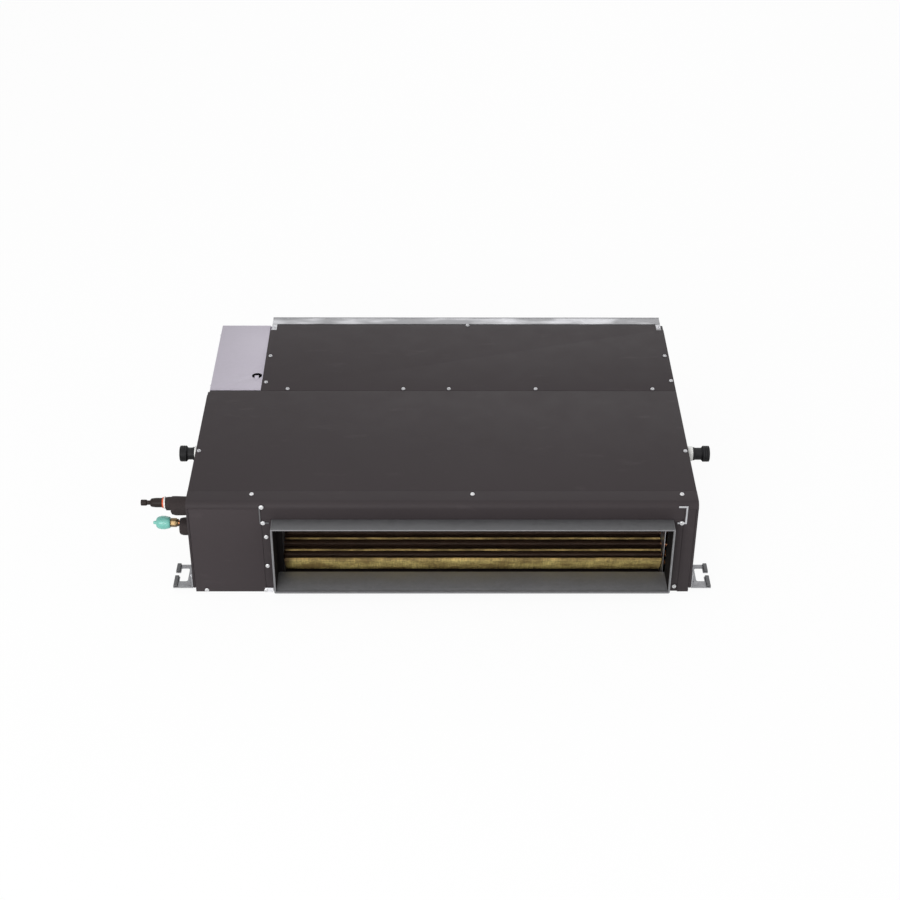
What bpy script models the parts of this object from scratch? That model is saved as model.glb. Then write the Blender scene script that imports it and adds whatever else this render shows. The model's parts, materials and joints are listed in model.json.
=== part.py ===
"""Slim ducted air conditioner indoor unit, lying on its ceiling side.

Metres, +Z up. X runs along the width, the air leaves at -Y and returns at +Y.
The origin is the centre of the face that lies against the ceiling once the unit hangs.
"""
import math

import bmesh
import bpy
from mathutils import Matrix, Vector

# Case
BODY_WIDTH = 0.900
BODY_DEPTH = 0.615
BODY_HEIGHT = 0.200
SKIN = 0.004             # side and front panels, sheet with bonded foam
COVER = 0.003            # top covers
SHEET = 0.002            # tray, deck and collars
GAP = 0.0003             # clearance between pieces that touch
TRAY_RIM = 0.0215        # height of the tray's upturned rim
SIDE_START = 0.011       # lower edge of the side panels
FLANGE = 0.018           # folded flanges that carry the covers
FAN_ROOM = 0.2495        # depth of the fan chamber, from the joint of the covers to the rear
RAIL_DEPTH = 0.038       # front rail's width on the top face
RAIL_DROP = 0.0345       # front rail's height on the front face
LOW_STRIP = 0.040        # top of the left panel's strip below the electrical box

# Outlet and return collars
OUTLET_LEFT_SPACE = 0.149    # from the case's left side to the outlet
OUTLET_RIGHT_SPACE = 0.042   # from the outlet to the case's right side
OUTLET_PROUD = 0.030         # how far the outlet collar stands out of the front
OUTLET_INSIDE = 0.0305       # how far it reaches behind the front
OUTLET_LIP = 0.0175          # side lips on the front face
TIE_LEFT_STEP = 0.0035       # each tie's spine from the edge of the collar's lip
TIE_RIGHT_STEP = 0.0055
TIE_LENGTH = 0.0385
TIE_DOWN = 0.005             # top of the ties below the covers' top
TIE_SPINE = 0.003
TIE_ARM = 0.010
TIE_THICK = 0.0012
RETURN_LEFT_SPACE = 0.104
RETURN_RIGHT_SPACE = 0.0045
RETURN_PROUD = 0.028
RETURN_WEB = 0.016           # inner web that the filter stands against
RETURN_EAR = 0.0215          # corner ears that lie in the fan cover's notches
RETURN_EAR_WIDTH = 0.010
FILTER_THICK = 0.010
FILTER_FRAME = 0.012
FILTER_NET = 0.0012
FILTER_BAYS = 6
FILTER_CLEAR = 0.001

# Fan chamber
FAN_TO_REAR = 0.1175         # from the fan's axis to the rear of the case
SIDE_PLATE_STEP = 0.004      # plate beside the electrical box, in from the return collar
DECK_FLANGE = 0.022
NECK_RISE = 0.040            # top of the blowers' necks above the shaft
MOTOR_TO_HOUSING = 0.024     # from the motor's boss to the housing beside it
HOUSING_LENGTH = 0.206
HOUSING_WALL = 0.002
HOUSING_GROWTH = 0.016       # how much further the scroll stands off at its outlet
HOUSING_CLEAR = 0.006        # clearance round the wheel where the scroll is tightest
HOUSING_BELOW = 0.0117       # room between the housings and the tray's floor
HOUSING_ABOVE = 0.0147       # room between the housings and the cover
SCROLL_START = math.radians(150)
SCROLL_END = math.radians(-90)
SCROLL_STEPS = 20
INLET_STEP = 0.010           # how much smaller the inlet's radius is than the wheel's
WHEEL_END_CLEAR = 0.011
WHEEL_BLADE = 0.012
WHEEL_BLADES = 24
WHEEL_HUB = 0.014
WHEEL_DISC = 0.004
WHEEL_RING = 0.005
BLADE_LEAN = math.radians(25)
BLADE_THICK = 0.0072
SHAFT_RADIUS = 0.005
MOTOR_RADIUS = 0.052
MOTOR_LENGTH = 0.090
MOTOR_BOSS = 0.030           # boss radius at the motor's ends
MOTOR_BOSS_LENGTH = 0.016
MOTOR_SIDES = 32
CRADLE_LEDGE = 0.0075        # ledge each side of the motor, for the bands' feet
CRADLE_ANGLE = math.radians(40)
CRADLE_WINDOW = 0.084
BAND_WIDTH = 0.012
BAND_THICK = 0.004

# Coil
COIL_LEFT_STEP = 0.013       # coil's ends in from the outlet's ends
COIL_RIGHT_STEP = 0.008
COIL_FOOT_BACK = 0.015       # middle of the coil's foot behind the outlet collar
COIL_FOOT_UP = 0.0277        # and above the tray's floor
COIL_HEAD_FRONT = 0.1156     # middle of the coil's head in front of the fan chamber
COIL_HEAD_DOWN = 0.0175      # and below the drain pan
COIL_THICK = 0.036
COIL_ROWS = 2
COIL_PASSES = 11
TUBE_RADIUS = 0.0048
BEND_REACH = 0.016           # how far the return bends stand out of the tube sheets
BEND_STEPS = 6
ROW_STAGGER = 0.4
TUBE_STUB = 0.016            # the tube's ends beyond the left tube sheet
TUBE_SHEET_BEHIND = 0.0216   # rear edge of the tube sheets behind the coil's head

# Drain
PAN_WALL = 0.008
PAN_HEIGHT = 0.0312
PAN_FRONT_SPACE = 0.0032
PAN_BACK_SPACE = 0.058       # from the drain pan to the fan chamber
DRAIN_FROM_FRONT = 0.1805
DRAIN_BORE = 0.0080
DRAIN_RADIUS = 0.0100
DRAIN_BLOCK = 0.0120         # half width of the square block that sits in the pan's wall
DRAIN_COLLAR = 0.0135
LEFT_DRAIN_COLLAR = 0.0042      # length of the collar outside the case, shorter on the left
RIGHT_DRAIN_COLLAR = 0.010
LEFT_DRAIN_REACH = 0.0165       # from the case to the end of the spout
RIGHT_DRAIN_REACH = 0.026
PLUG_RADIUS = 0.0117
PLUG_HEAD_RADIUS = 0.0148
PLUG_HEAD_LENGTH = 0.013

# Refrigerant pipes
PIPE_FROM_FRONT = 0.0775
GAS_DOWN = 0.055             # gas pipe below the covers' top
PIPE_PITCH = 0.045           # liquid pipe below the gas pipe
GAS_RADIUS = 0.0083
GAS_REACH = 0.077            # copper beyond the side panel
GAS_SLEEVE_RADIUS = 0.0135
GAS_SLEEVE_LENGTH = 0.051
GAS_COLLAR = 0.034           # foam block round the gas pipe
GAS_COLLAR_LENGTH = 0.040
GAS_COLLAR_DROP = 0.0015
GAS_PLUG_RADIUS = 0.0062
GAS_PLUG_LENGTH = 0.020
GAS_PLUG_DEEP = 0.016
LIQUID_RADIUS = 0.0050
LIQUID_SLEEVE_RADIUS = 0.0150
LIQUID_SLEEVE_LENGTH = 0.026
NUT_RADIUS = 0.0085
NUT_LENGTH = 0.015
THREAD_RADIUS = 0.0062
THREAD_LENGTH = 0.008
CAP_RADIUS = 0.0118
CAP_LENGTH = 0.026
CAP_TIP = 0.005
CAP_TIP_RADIUS = 0.003
GAS_RUN = 0.018              # straight run before each pipe turns up
LIQUID_RUN = 0.040
RISER_SLOPE = 0.25           # how far a riser leans outwards for its height
PIPE_BEND = 0.016
PIPE_PLATE = 0.0015
PIPE_PLATE_HALF = 0.050
PIPE_PLATE_ABOVE = 0.027     # upper edge of the plate above the gas pipe
PIPE_PLATE_UP = 0.010        # lower edge of the plate above the hanging brackets

# Electrical box
BOX_BACK_STEP = 0.0035   # how far the box stands in from the rear
BOX_SIDE_STEP = 0.005    # how far the box stands in from the side panel's face
BOX_WALL = 0.0015
BOX_LID = 0.0015
BOX_DROP = 0.001         # how far the lid lies below the covers' top
BOX_SKIRT = 0.012
BOX_HOLE_IN = 0.0142     # hole in the lid, from its right edge
BOX_HOLE_BACK = 0.0532   # and from its front edge
BOX_HOLE = 0.014
BOX_TAB = 0.003
BOSS = 0.008
BOARD_SIDE_SPACE = 0.005
BOARD_FRONT_SPACE = 0.0397
BOARD_BACK_SPACE = 0.014
BOARD_RISE = 0.0102
BOARD_THICK = 0.0016
TRANSFORMER = (0.036, 0.042, 0.030)
TRANSFORMER_STEP = (0.0072, -0.0052, 0.006)   # from the core's corner to the winding's
TRANSFORMER_IN = 0.016
CAPACITOR_RADIUS = 0.011
CAPACITOR_HEIGHT = 0.036
CAPACITOR_IN = 0.020
CAPACITOR_FRONT = 0.032
TERMINAL = (0.078, 0.022, 0.018)
TERMINALS = 5
TERMINAL_RIB = 0.002
GROMMET_BACK = 0.0217
GROMMET_UP = 0.0797
GROMMET_BORE = 0.006
GROMMET_NECK = 0.009
GROMMET_FLANGE = 0.012

# Hanging brackets
HANGER_FRONT_SPACE = 0.0355
HANGER_REAR_SPACE = 0.0885
HANGER_WIDTH = 0.074
HANGER_REACH = 0.036
HANGER_THICK = 0.002
HANGER_Z = 0.013
SLOT_MOUTH = 0.012
SLOT_WIDTH = 0.038
SLOT_DEPTH = 0.015
SLOT_LIP = 0.009
SLOT_UPTURN = 0.005

# Screws
SCREW_HEAD_RADIUS = 0.0048
SCREW_HEAD = 0.0022
SCREW_SHANK_RADIUS = 0.0018
SCREW_SHANK = 0.010
SCREW_SIDES = 12
SHANK_SIDES = 8
SEAM_SCREW_IN = 0.0055        # screws behind the joint of the covers
SEAM_SCREW_END = 0.0225       # end screws in from the ends of the deck's flange
SEAM_SCREW_SHARES = (0, 0.317, 0.4416, 0.6795, 1)   # along the row, between the end screws

# Worked out from the sizes above
HALF_W = BODY_WIDTH / 2
HALF_D = BODY_DEPTH / 2
INNER_W = HALF_W - SKIN - GAP
INNER_D = HALF_D - SKIN - GAP
COVER_Z = BODY_HEIGHT - COVER
UNDER_COVER = COVER_Z - GAP
FLOOR = SHEET + GAP
COVER_SEAM_Y = HALF_D - FAN_ROOM
DECK_Y = COVER_SEAM_Y + SHEET

OUTLET_LEFT = -HALF_W + OUTLET_LEFT_SPACE
OUTLET_RIGHT = HALF_W - OUTLET_RIGHT_SPACE
OUTLET_TOP = BODY_HEIGHT - RAIL_DROP - GAP
LIP_LEFT = OUTLET_LEFT - OUTLET_LIP
POST_X = OUTLET_RIGHT + OUTLET_LIP
RETURN_LEFT = -HALF_W + RETURN_LEFT_SPACE
RETURN_RIGHT = HALF_W - RETURN_RIGHT_SPACE
RETURN_TOP = BODY_HEIGHT - GAP
FILTER_Y = HALF_D + SHEET + 2 * GAP

SIDE_PLATE_X = RETURN_LEFT + SIDE_PLATE_STEP
DECK_FLANGE_X = (SIDE_PLATE_X + DECK_FLANGE, INNER_W - FLANGE - GAP)
SEAM_SCREW_Y = COVER_SEAM_Y + SEAM_SCREW_IN
SEAM_SCREW_FIRST = DECK_FLANGE_X[0] + SEAM_SCREW_END
SEAM_SCREW_LAST = DECK_FLANGE_X[1] - SEAM_SCREW_END
SEAM_SCREW_X = [SEAM_SCREW_FIRST + share * (SEAM_SCREW_LAST - SEAM_SCREW_FIRST)
                for share in SEAM_SCREW_SHARES]

SHAFT_MID_X = (SIDE_PLATE_X + INNER_W) / 2
BLOWER_OFFSET = MOTOR_LENGTH / 2 + MOTOR_BOSS_LENGTH + MOTOR_TO_HOUSING + HOUSING_LENGTH / 2
HOUSING_X = (SHAFT_MID_X - BLOWER_OFFSET, SHAFT_MID_X + BLOWER_OFFSET)
GROWTH_AT_TOP = HOUSING_GROWTH * (SCROLL_START - math.pi / 2) / (SCROLL_START - SCROLL_END)
HOUSING_ROOM = UNDER_COVER - FLOOR - HOUSING_BELOW - HOUSING_ABOVE
WHEEL_RADIUS = (HOUSING_ROOM - HOUSING_GROWTH - GROWTH_AT_TOP) / 2 - HOUSING_WALL - HOUSING_CLEAR
WHEEL_LENGTH = HOUSING_LENGTH - 2 * (HOUSING_WALL + WHEEL_END_CLEAR)
BLADE_SLOT = math.tau * (WHEEL_RADIUS - WHEEL_BLADE / 2) / WHEEL_BLADES - BLADE_THICK
HOUSING_INLET = WHEEL_RADIUS - INLET_STEP
FAN_AXIS_Y = HALF_D - FAN_TO_REAR
NECK_LOW = FLOOR + HOUSING_BELOW + HOUSING_WALL
FAN_AXIS_Z = NECK_LOW + HOUSING_GROWTH + HOUSING_CLEAR + WHEEL_RADIUS
NECK_HIGH = FAN_AXIS_Z + NECK_RISE

PAN_LOW = UNDER_COVER - PAN_HEIGHT
PAN_HALF = INNER_W - FLANGE - GAP
PAN_FRONT_Y = -INNER_D + PAN_FRONT_SPACE
PAN_BACK_Y = COVER_SEAM_Y - PAN_BACK_SPACE
DRAIN_Y = -HALF_D + DRAIN_FROM_FRONT
DRAIN_Z = (PAN_LOW + UNDER_COVER) / 2

COIL_LEFT = OUTLET_LEFT + COIL_LEFT_STEP
COIL_RIGHT = OUTLET_RIGHT - COIL_RIGHT_STEP
COIL_FOOT = Vector((0, -HALF_D + OUTLET_INSIDE + COIL_FOOT_BACK, FLOOR + COIL_FOOT_UP))
COIL_HEAD = Vector((0, COVER_SEAM_Y - COIL_HEAD_FRONT, PAN_LOW - COIL_HEAD_DOWN))
COIL_LENGTH = (COIL_HEAD - COIL_FOOT).length
RISE = (COIL_HEAD - COIL_FOOT).normalized()
ACROSS = Vector((1, 0, 0)).cross(RISE)

PIPE_Y = -HALF_D + PIPE_FROM_FRONT
GAS_Z = BODY_HEIGHT - GAS_DOWN
LIQUID_Z = GAS_Z - PIPE_PITCH
PIPE_X = HALF_W + PIPE_PLATE + 2 * GAP
PIPE_PLATE_Y = (PIPE_Y - PIPE_PLATE_HALF, PIPE_Y + PIPE_PLATE_HALF)
PIPE_PLATE_Z = (LOW_STRIP + PIPE_PLATE_UP, GAS_Z + PIPE_PLATE_ABOVE)

BOX_LEFT = -HALF_W + BOX_SIDE_STEP
BOX_RIGHT = RETURN_LEFT - GAP
BOX_FRONT = DECK_Y + GAP
BOX_BACK_Y = HALF_D - BOX_BACK_STEP
BOX_LOW = LOW_STRIP + GAP
BOX_TOP = BODY_HEIGHT - BOX_DROP - BOX_LID - GAP
BOARD_LOW = BOX_LOW + BOARD_RISE
ON_BOARD = BOARD_LOW + BOARD_THICK + GAP
BOARD_LEFT = BOX_LEFT + BOARD_SIDE_SPACE
BOARD_RIGHT = BOX_RIGHT - BOARD_SIDE_SPACE
BOARD_FRONT = BOX_FRONT + BOARD_FRONT_SPACE
BOARD_BACK = BOX_BACK_Y - BOARD_BACK_SPACE
GROMMET_Y = BOX_FRONT + GROMMET_BACK
GROMMET_Z = BOX_LOW + GROMMET_UP

ROUND_SIDES = 24
SMALL_SIDES = 16
TUBE_SIDES = 8
NUT_SIDES = 6
ARC_STEP = math.radians(10)
MOTOR_SEAT = (MOTOR_RADIUS + GAP) / math.cos(ARC_STEP / 2)
CRADLE_HALF = MOTOR_SEAT + CRADLE_LEDGE

CHARCOAL = (0.055, 0.051, 0.053, 1.0)
GALVANISED = (0.52, 0.52, 0.54, 1.0)
DULL_STEEL = (0.36, 0.36, 0.38, 1.0)
FOAM_WHITE = (0.80, 0.80, 0.78, 1.0)
BLACK_PLASTIC = (0.025, 0.025, 0.027, 1.0)
COPPER = (0.72, 0.37, 0.22, 1.0)
BRASS = (0.68, 0.49, 0.20, 1.0)
GOLD_FIN = (0.47, 0.36, 0.16, 1.0)
TEAL = (0.13, 0.62, 0.52, 1.0)
BOARD_GREEN = (0.02, 0.16, 0.07, 1.0)
TERMINAL_IVORY = (0.75, 0.74, 0.70, 1.0)


def clear_scene():
    for obj in list(bpy.data.objects):
        bpy.data.objects.remove(obj, do_unlink=True)


def new_collection(name):
    collection = bpy.data.collections.new(name)
    bpy.context.scene.collection.children.link(collection)
    return collection


clear_scene()
PARTS = new_collection("ducted_indoor_unit")
CUTTERS = new_collection("cutters")


def material(name, colour, roughness, metallic=0.0):
    made = bpy.data.materials.new(name)
    made.use_nodes = True
    shader = made.node_tree.nodes["Principled BSDF"]
    shader.inputs["Base Color"].default_value = colour
    shader.inputs["Roughness"].default_value = roughness
    shader.inputs["Metallic"].default_value = metallic
    made.diffuse_color = colour
    return made


def place(obj, collection):
    for owner in list(obj.users_collection):
        owner.objects.unlink(obj)
    collection.objects.link(obj)


def dress(obj, name, colour, roughness=0.6, metallic=0.0):
    """Name a finished sub-part and give it its own material."""
    obj.name = name
    obj.data.name = name
    place(obj, PARTS)
    obj.data.materials.clear()
    obj.data.materials.append(material(name + "_finish", colour, roughness, metallic))
    return obj


def blocks(boxes):
    """One mesh object that holds a separate box for each pair of corners."""
    mesh = bpy.data.meshes.new("blocks")
    shape = bmesh.new()
    for low, high in boxes:
        for corner in bmesh.ops.create_cube(shape, size=2)["verts"]:
            corner.co = [low[i] if corner.co[i] < 0 else high[i] for i in range(3)]
    shape.to_mesh(mesh)
    shape.free()
    obj = bpy.data.objects.new("blocks", mesh)
    PARTS.objects.link(obj)
    return obj


def outline(loops, axis, start, end):
    """A flat outline with holes, extruded along X, Y or Z from start to end.

    Points are (Y, Z) for X, (X, Z) for Y and (X, Y) for Z.
    """
    curve = bpy.data.curves.new("outline", "CURVE")
    curve.dimensions = "2D"
    curve.fill_mode = "BOTH"
    curve.extrude = (end - start) / 2
    for points in loops:
        spline = curve.splines.new("POLY")
        spline.points.add(len(points) - 1)
        for point, (across, up) in zip(spline.points, points):
            point.co = (across, up, 0, 1)
        spline.use_cyclic_u = True
    obj = bpy.data.objects.new("outline", curve)
    PARTS.objects.link(obj)
    middle = (start + end) / 2
    if axis == "X":
        turn = Matrix(((0, 0, 1, middle), (1, 0, 0, 0), (0, 1, 0, 0), (0, 0, 0, 1)))
    elif axis == "Y":
        turn = Matrix(((1, 0, 0, 0), (0, 0, -1, middle), (0, 1, 0, 0), (0, 0, 0, 1)))
    else:
        turn = Matrix.Translation((0, 0, middle))
    made = as_mesh(obj, turn)
    along = "XYZ".index(axis)
    for vertex in made.data.vertices:
        vertex.co[along] = start if vertex.co[along] < middle else end
    return made


def as_mesh(obj, turn=None):
    """Turn a curve into a closed mesh, with its caps welded."""
    if turn is not None:
        obj.matrix_world = turn
    bpy.context.view_layer.update()
    graph = bpy.context.evaluated_depsgraph_get()
    mesh = bpy.data.meshes.new_from_object(obj.evaluated_get(graph))
    mesh.transform(obj.matrix_world)
    shape = bmesh.new()
    shape.from_mesh(mesh)
    bmesh.ops.remove_doubles(shape, verts=shape.verts, dist=1e-6)
    bmesh.ops.recalc_face_normals(shape, faces=shape.faces)
    shape.to_mesh(mesh)
    shape.free()
    made = bpy.data.objects.new(obj.name, mesh)
    PARTS.objects.link(made)
    bpy.data.objects.remove(obj)
    return made


def circle(centre, radius, sides=ROUND_SIDES):
    return [(centre[0] + radius * math.cos(math.tau * i / sides),
             centre[1] + radius * math.sin(math.tau * i / sides)) for i in range(sides)]


def hole(centre, radius, sides=ROUND_SIDES):
    """A round hole whose flats clear the radius."""
    return circle(centre, radius / math.cos(math.pi / sides), sides)


def rectangle(low, high):
    return [low, (high[0], low[1]), high, (low[0], high[1])]


def rod(radius, start, length, sides=ROUND_SIDES, axis="X"):
    """A solid round bar from the point start, along +X, +Y or +Z."""
    return rods(radius, [start], length, sides, axis)


def rods(radius, starts, length, sides, axis="X"):
    """One mesh object that holds a solid round bar from each of the points."""
    mesh = bpy.data.meshes.new("rod")
    shape = bmesh.new()
    turn = {"X": Matrix.Rotation(math.pi / 2, 4, "Y"),
            "Y": Matrix.Rotation(-math.pi / 2, 4, "X"),
            "Z": Matrix.Identity(4)}[axis]
    along = turn @ Vector((0, 0, length / 2))
    for start in starts:
        bmesh.ops.create_cone(shape, cap_ends=True, segments=sides, radius1=radius, radius2=radius,
                              depth=length, matrix=Matrix.Translation(Vector(start) + along) @ turn)
    shape.to_mesh(mesh)
    shape.free()
    obj = bpy.data.objects.new("rod", mesh)
    PARTS.objects.link(obj)
    return obj


def turned(profile, centre, sides=ROUND_SIDES):
    """A ring turned about the X direction from (x, radius) points that run round its section."""
    loop = bpy.data.meshes.new("turned")
    shape = bmesh.new()
    corners = [shape.verts.new((radius, 0, x)) for x, radius in profile]
    for first, second in zip(corners, corners[1:] + corners[:1]):
        shape.edges.new((first, second))
    shape.to_mesh(loop)
    shape.free()
    obj = bpy.data.objects.new("turned", loop)
    PARTS.objects.link(obj)
    obj.matrix_world = Matrix.Translation(centre) @ Matrix.Rotation(math.pi / 2, 4, "Y")
    screw = obj.modifiers.new("turn", "SCREW")
    screw.axis = "Z"
    screw.angle = math.tau
    screw.steps = sides
    screw.render_steps = sides
    screw.use_merge_vertices = True
    screw.merge_threshold = 0.00001
    screw.use_normal_calculate = True
    return as_mesh(obj)


def hide_cutter(cutter):
    place(cutter, CUTTERS)
    cutter.hide_render = True
    cutter.display_type = "WIRE"


def boolean(obj, other, operation):
    modifier = obj.modifiers.new(operation.lower(), "BOOLEAN")
    modifier.operation = operation
    modifier.solver = "EXACT"
    modifier.object = other
    hide_cutter(other)
    return obj


def cut(obj, other):
    return boolean(obj, other, "DIFFERENCE")


def join(obj, other):
    return boolean(obj, other, "UNION")


# Case

def ceiling_tray():
    tray = blocks([((-INNER_W, -INNER_D, 0), (INNER_W, INNER_D, TRAY_RIM))])
    inside_x = INNER_W - SHEET
    inside_y = INNER_D - SHEET
    cut(tray, blocks([((-inside_x, -inside_y, SHEET), (inside_x, inside_y, TRAY_RIM + SHEET))]))
    return dress(tray, "ceiling_tray", CHARCOAL)


def left_side_panel():
    """Full height up to the deck, then a low strip below the electrical box."""
    step_y = COVER_SEAM_Y - GAP
    panel = blocks([((-HALF_W, -HALF_D, SIDE_START), (-HALF_W + SKIN, HALF_D, LOW_STRIP))])
    join(panel, blocks([((-HALF_W, -HALF_D, SIDE_START), (-HALF_W + SKIN, step_y, UNDER_COVER))]))
    flange_x = (-HALF_W + SKIN / 2, -INNER_W + FLANGE)
    top_flange = ((flange_x[0], -INNER_D + FLANGE, UNDER_COVER - SHEET),
                  (flange_x[1], step_y, UNDER_COVER))
    low_flange = ((flange_x[0], DECK_Y, LOW_STRIP - SHEET), (flange_x[1], INNER_D, LOW_STRIP))
    join(panel, blocks([top_flange, low_flange]))
    margin = FLANGE / 2
    low = (-HALF_W - SKIN, PIPE_PLATE_Y[0] + margin, PIPE_PLATE_Z[0] + margin)
    high = (-HALF_W + 2 * SKIN, PIPE_PLATE_Y[1] - margin, PIPE_PLATE_Z[1] - margin)
    cut(panel, blocks([(low, high)]))
    cut(panel, rod(DRAIN_RADIUS + GAP, (-HALF_W - SKIN, DRAIN_Y, DRAIN_Z), 3 * SKIN))
    return dress(panel, "left_side_panel", CHARCOAL)


def right_side_panel():
    panel = blocks([((HALF_W - SKIN, -HALF_D, SIDE_START), (HALF_W, HALF_D, UNDER_COVER))])
    join(panel, blocks([((INNER_W - FLANGE, -INNER_D + FLANGE, UNDER_COVER - SHEET),
                         (HALF_W - SKIN / 2, INNER_D, UNDER_COVER))]))
    cut(panel, rod(DRAIN_RADIUS + GAP, (HALF_W - 2 * SKIN, DRAIN_Y, DRAIN_Z), 3 * SKIN))
    return dress(panel, "right_side_panel", CHARCOAL)


def front_rail():
    """Angle above the outlet: a strip on the top face and a drop on the front face."""
    rail = blocks([((-HALF_W, -HALF_D, COVER_Z), (HALF_W, -HALF_D + RAIL_DEPTH, BODY_HEIGHT))])
    join(rail, blocks([((LIP_LEFT + GAP, -HALF_D, BODY_HEIGHT - RAIL_DROP),
                        (POST_X - GAP, -HALF_D + SKIN, BODY_HEIGHT - COVER / 2))]))
    return dress(rail, "front_rail", CHARCOAL)


def front_left_panel():
    """Front panel with a set-back tongue that the outlet collar's lip is screwed to."""
    panel = blocks([((-INNER_W, -HALF_D, SHEET), (LIP_LEFT - GAP, -HALF_D + SKIN, UNDER_COVER))])
    join(panel, blocks([((LIP_LEFT - SKIN, -HALF_D + SHEET + GAP, SHEET),
                         (OUTLET_LEFT - GAP, -HALF_D + SKIN, OUTLET_TOP))]))
    return dress(panel, "front_left_panel", CHARCOAL)


def front_right_post():
    post = blocks([((POST_X, -HALF_D, SHEET), (INNER_W, -HALF_D + SKIN, UNDER_COVER))])
    join(post, blocks([((OUTLET_RIGHT + GAP, -HALF_D + SHEET + GAP, SHEET),
                        (POST_X + SKIN, -HALF_D + SKIN, OUTLET_TOP))]))
    return dress(post, "front_right_post", CHARCOAL)


def coil_cover():
    low = (-HALF_W, -HALF_D + RAIL_DEPTH + GAP, COVER_Z)
    high = (HALF_W, COVER_SEAM_Y - GAP, BODY_HEIGHT)
    cover = blocks([(low, high)])
    return dress(cover, "coil_cover", CHARCOAL)


def fan_cover():
    """Rear cover, with notched rear corners and holes for the screws along its joint."""
    notch_y = HALF_D - RETURN_EAR - GAP
    left = SIDE_PLATE_X - SHEET
    ear_left = RETURN_LEFT + RETURN_EAR_WIDTH + GAP
    ear_right = RETURN_RIGHT - RETURN_EAR_WIDTH - GAP
    loop = [(left, COVER_SEAM_Y), (HALF_W, COVER_SEAM_Y), (HALF_W, notch_y), (ear_right, notch_y),
            (ear_right, HALF_D), (ear_left, HALF_D), (ear_left, notch_y), (left, notch_y)]
    holes = [hole((x, SEAM_SCREW_Y), SCREW_SHANK_RADIUS + GAP, SHANK_SIDES) for x in SEAM_SCREW_X]
    return dress(outline([loop] + holes, "Z", COVER_Z, BODY_HEIGHT), "fan_cover", CHARCOAL)


def cover_screw(number, x):
    seat = BODY_HEIGHT + GAP
    screw = rod(SCREW_HEAD_RADIUS, (x, SEAM_SCREW_Y, seat), SCREW_HEAD, SCREW_SIDES, "Z")
    join(screw, rod(SCREW_SHANK_RADIUS, (x, SEAM_SCREW_Y, seat - SCREW_SHANK),
                    SCREW_SHANK + SCREW_HEAD / 2, SHANK_SIDES, "Z"))
    return dress(screw, f"cover_screw_{number}", GALVANISED, 0.35, 1.0)


# Collars and filter

def outlet_collar():
    """Rectangular duct collar, standing on the tray's rim, with a lip each side on the front face."""
    low_y = -HALF_D - OUTLET_PROUD
    high_y = -HALF_D + OUTLET_INSIDE
    low_z = TRAY_RIM + GAP
    top = OUTLET_TOP
    collar = blocks([((OUTLET_LEFT, low_y, low_z), (OUTLET_RIGHT, high_y, top))])
    lip_y = (-HALF_D, -HALF_D + SHEET)
    join(collar, blocks([((LIP_LEFT, lip_y[0], low_z), (OUTLET_LEFT + SHEET / 2, lip_y[1], top)),
                         ((OUTLET_RIGHT - SHEET / 2, lip_y[0], low_z), (POST_X - GAP, lip_y[1], top))]))
    cut(collar, blocks([((OUTLET_LEFT + SHEET, low_y - SHEET, low_z + SHEET),
                         (OUTLET_RIGHT - SHEET, high_y + SHEET, top - SHEET))]))
    return dress(collar, "outlet_collar", GALVANISED, 0.4, 1.0)


def return_collar():
    """Duct collar round the return opening, with a web for the filter and two corner ears."""
    low_y = HALF_D + GAP
    high_y = low_y + RETURN_PROUD
    collar = blocks([((RETURN_LEFT, low_y, TRAY_RIM + GAP), (RETURN_RIGHT, high_y, RETURN_TOP))])
    cut(collar, blocks([((RETURN_LEFT + SHEET, low_y + SHEET, TRAY_RIM + GAP + SHEET),
                         (RETURN_RIGHT - SHEET, high_y + SHEET, RETURN_TOP - SHEET))]))
    cut(collar, blocks([((RETURN_LEFT + RETURN_WEB, low_y - SHEET, TRAY_RIM + RETURN_WEB),
                         (RETURN_RIGHT - RETURN_WEB, low_y + 2 * SHEET, RETURN_TOP - RETURN_WEB))]))
    ears = []
    for left in (RETURN_LEFT, RETURN_RIGHT - RETURN_EAR_WIDTH):
        ears.append(((left, HALF_D - RETURN_EAR, COVER_Z),
                     (left + RETURN_EAR_WIDTH, low_y + SHEET / 2, RETURN_TOP)))
    join(collar, blocks(ears))
    return dress(collar, "return_collar", GALVANISED, 0.4, 1.0)


def air_filter():
    """Framed filter panel: pockets sunk from both faces leave the ribs and the thin net."""
    low_x = RETURN_LEFT + SHEET + FILTER_CLEAR
    high_x = RETURN_RIGHT - SHEET - FILTER_CLEAR
    low_z = TRAY_RIM + GAP + SHEET + GAP
    high_z = RETURN_TOP - SHEET - FILTER_CLEAR
    panel = blocks([((low_x, FILTER_Y, low_z), (high_x, FILTER_Y + FILTER_THICK, high_z))])
    step = (high_x - low_x - FILTER_FRAME) / FILTER_BAYS
    net_y = FILTER_Y + FILTER_THICK / 2
    pockets = []
    for bay in range(FILTER_BAYS):
        left = low_x + FILTER_FRAME + bay * step
        right = left + step - FILTER_FRAME
        for low_y, high_y in ((FILTER_Y - SHEET, net_y - FILTER_NET / 2),
                              (net_y + FILTER_NET / 2, FILTER_Y + FILTER_THICK + SHEET)):
            pockets.append(((left, low_y, low_z + FILTER_FRAME), (right, high_y, high_z - FILTER_FRAME)))
    cut(panel, blocks(pockets))
    return dress(panel, "air_filter", BLACK_PLASTIC)


def rail_tie(name, x, facing):
    """Bracket like a square C that ties the front rail to the collar's lip."""
    spine = x + facing * TIE_SPINE
    tip = x + facing * TIE_ARM
    high = BODY_HEIGHT - TIE_DOWN
    low = high - TIE_LENGTH
    loop = [(x, low), (tip, low), (tip, low + TIE_SPINE), (spine, low + TIE_SPINE),
            (spine, high - TIE_SPINE), (tip, high - TIE_SPINE), (tip, high), (x, high)]
    front = -HALF_D - GAP
    return dress(outline([loop], "Y", front - TIE_THICK, front), name, GALVANISED, 0.4, 1.0)


# Fan chamber

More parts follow.
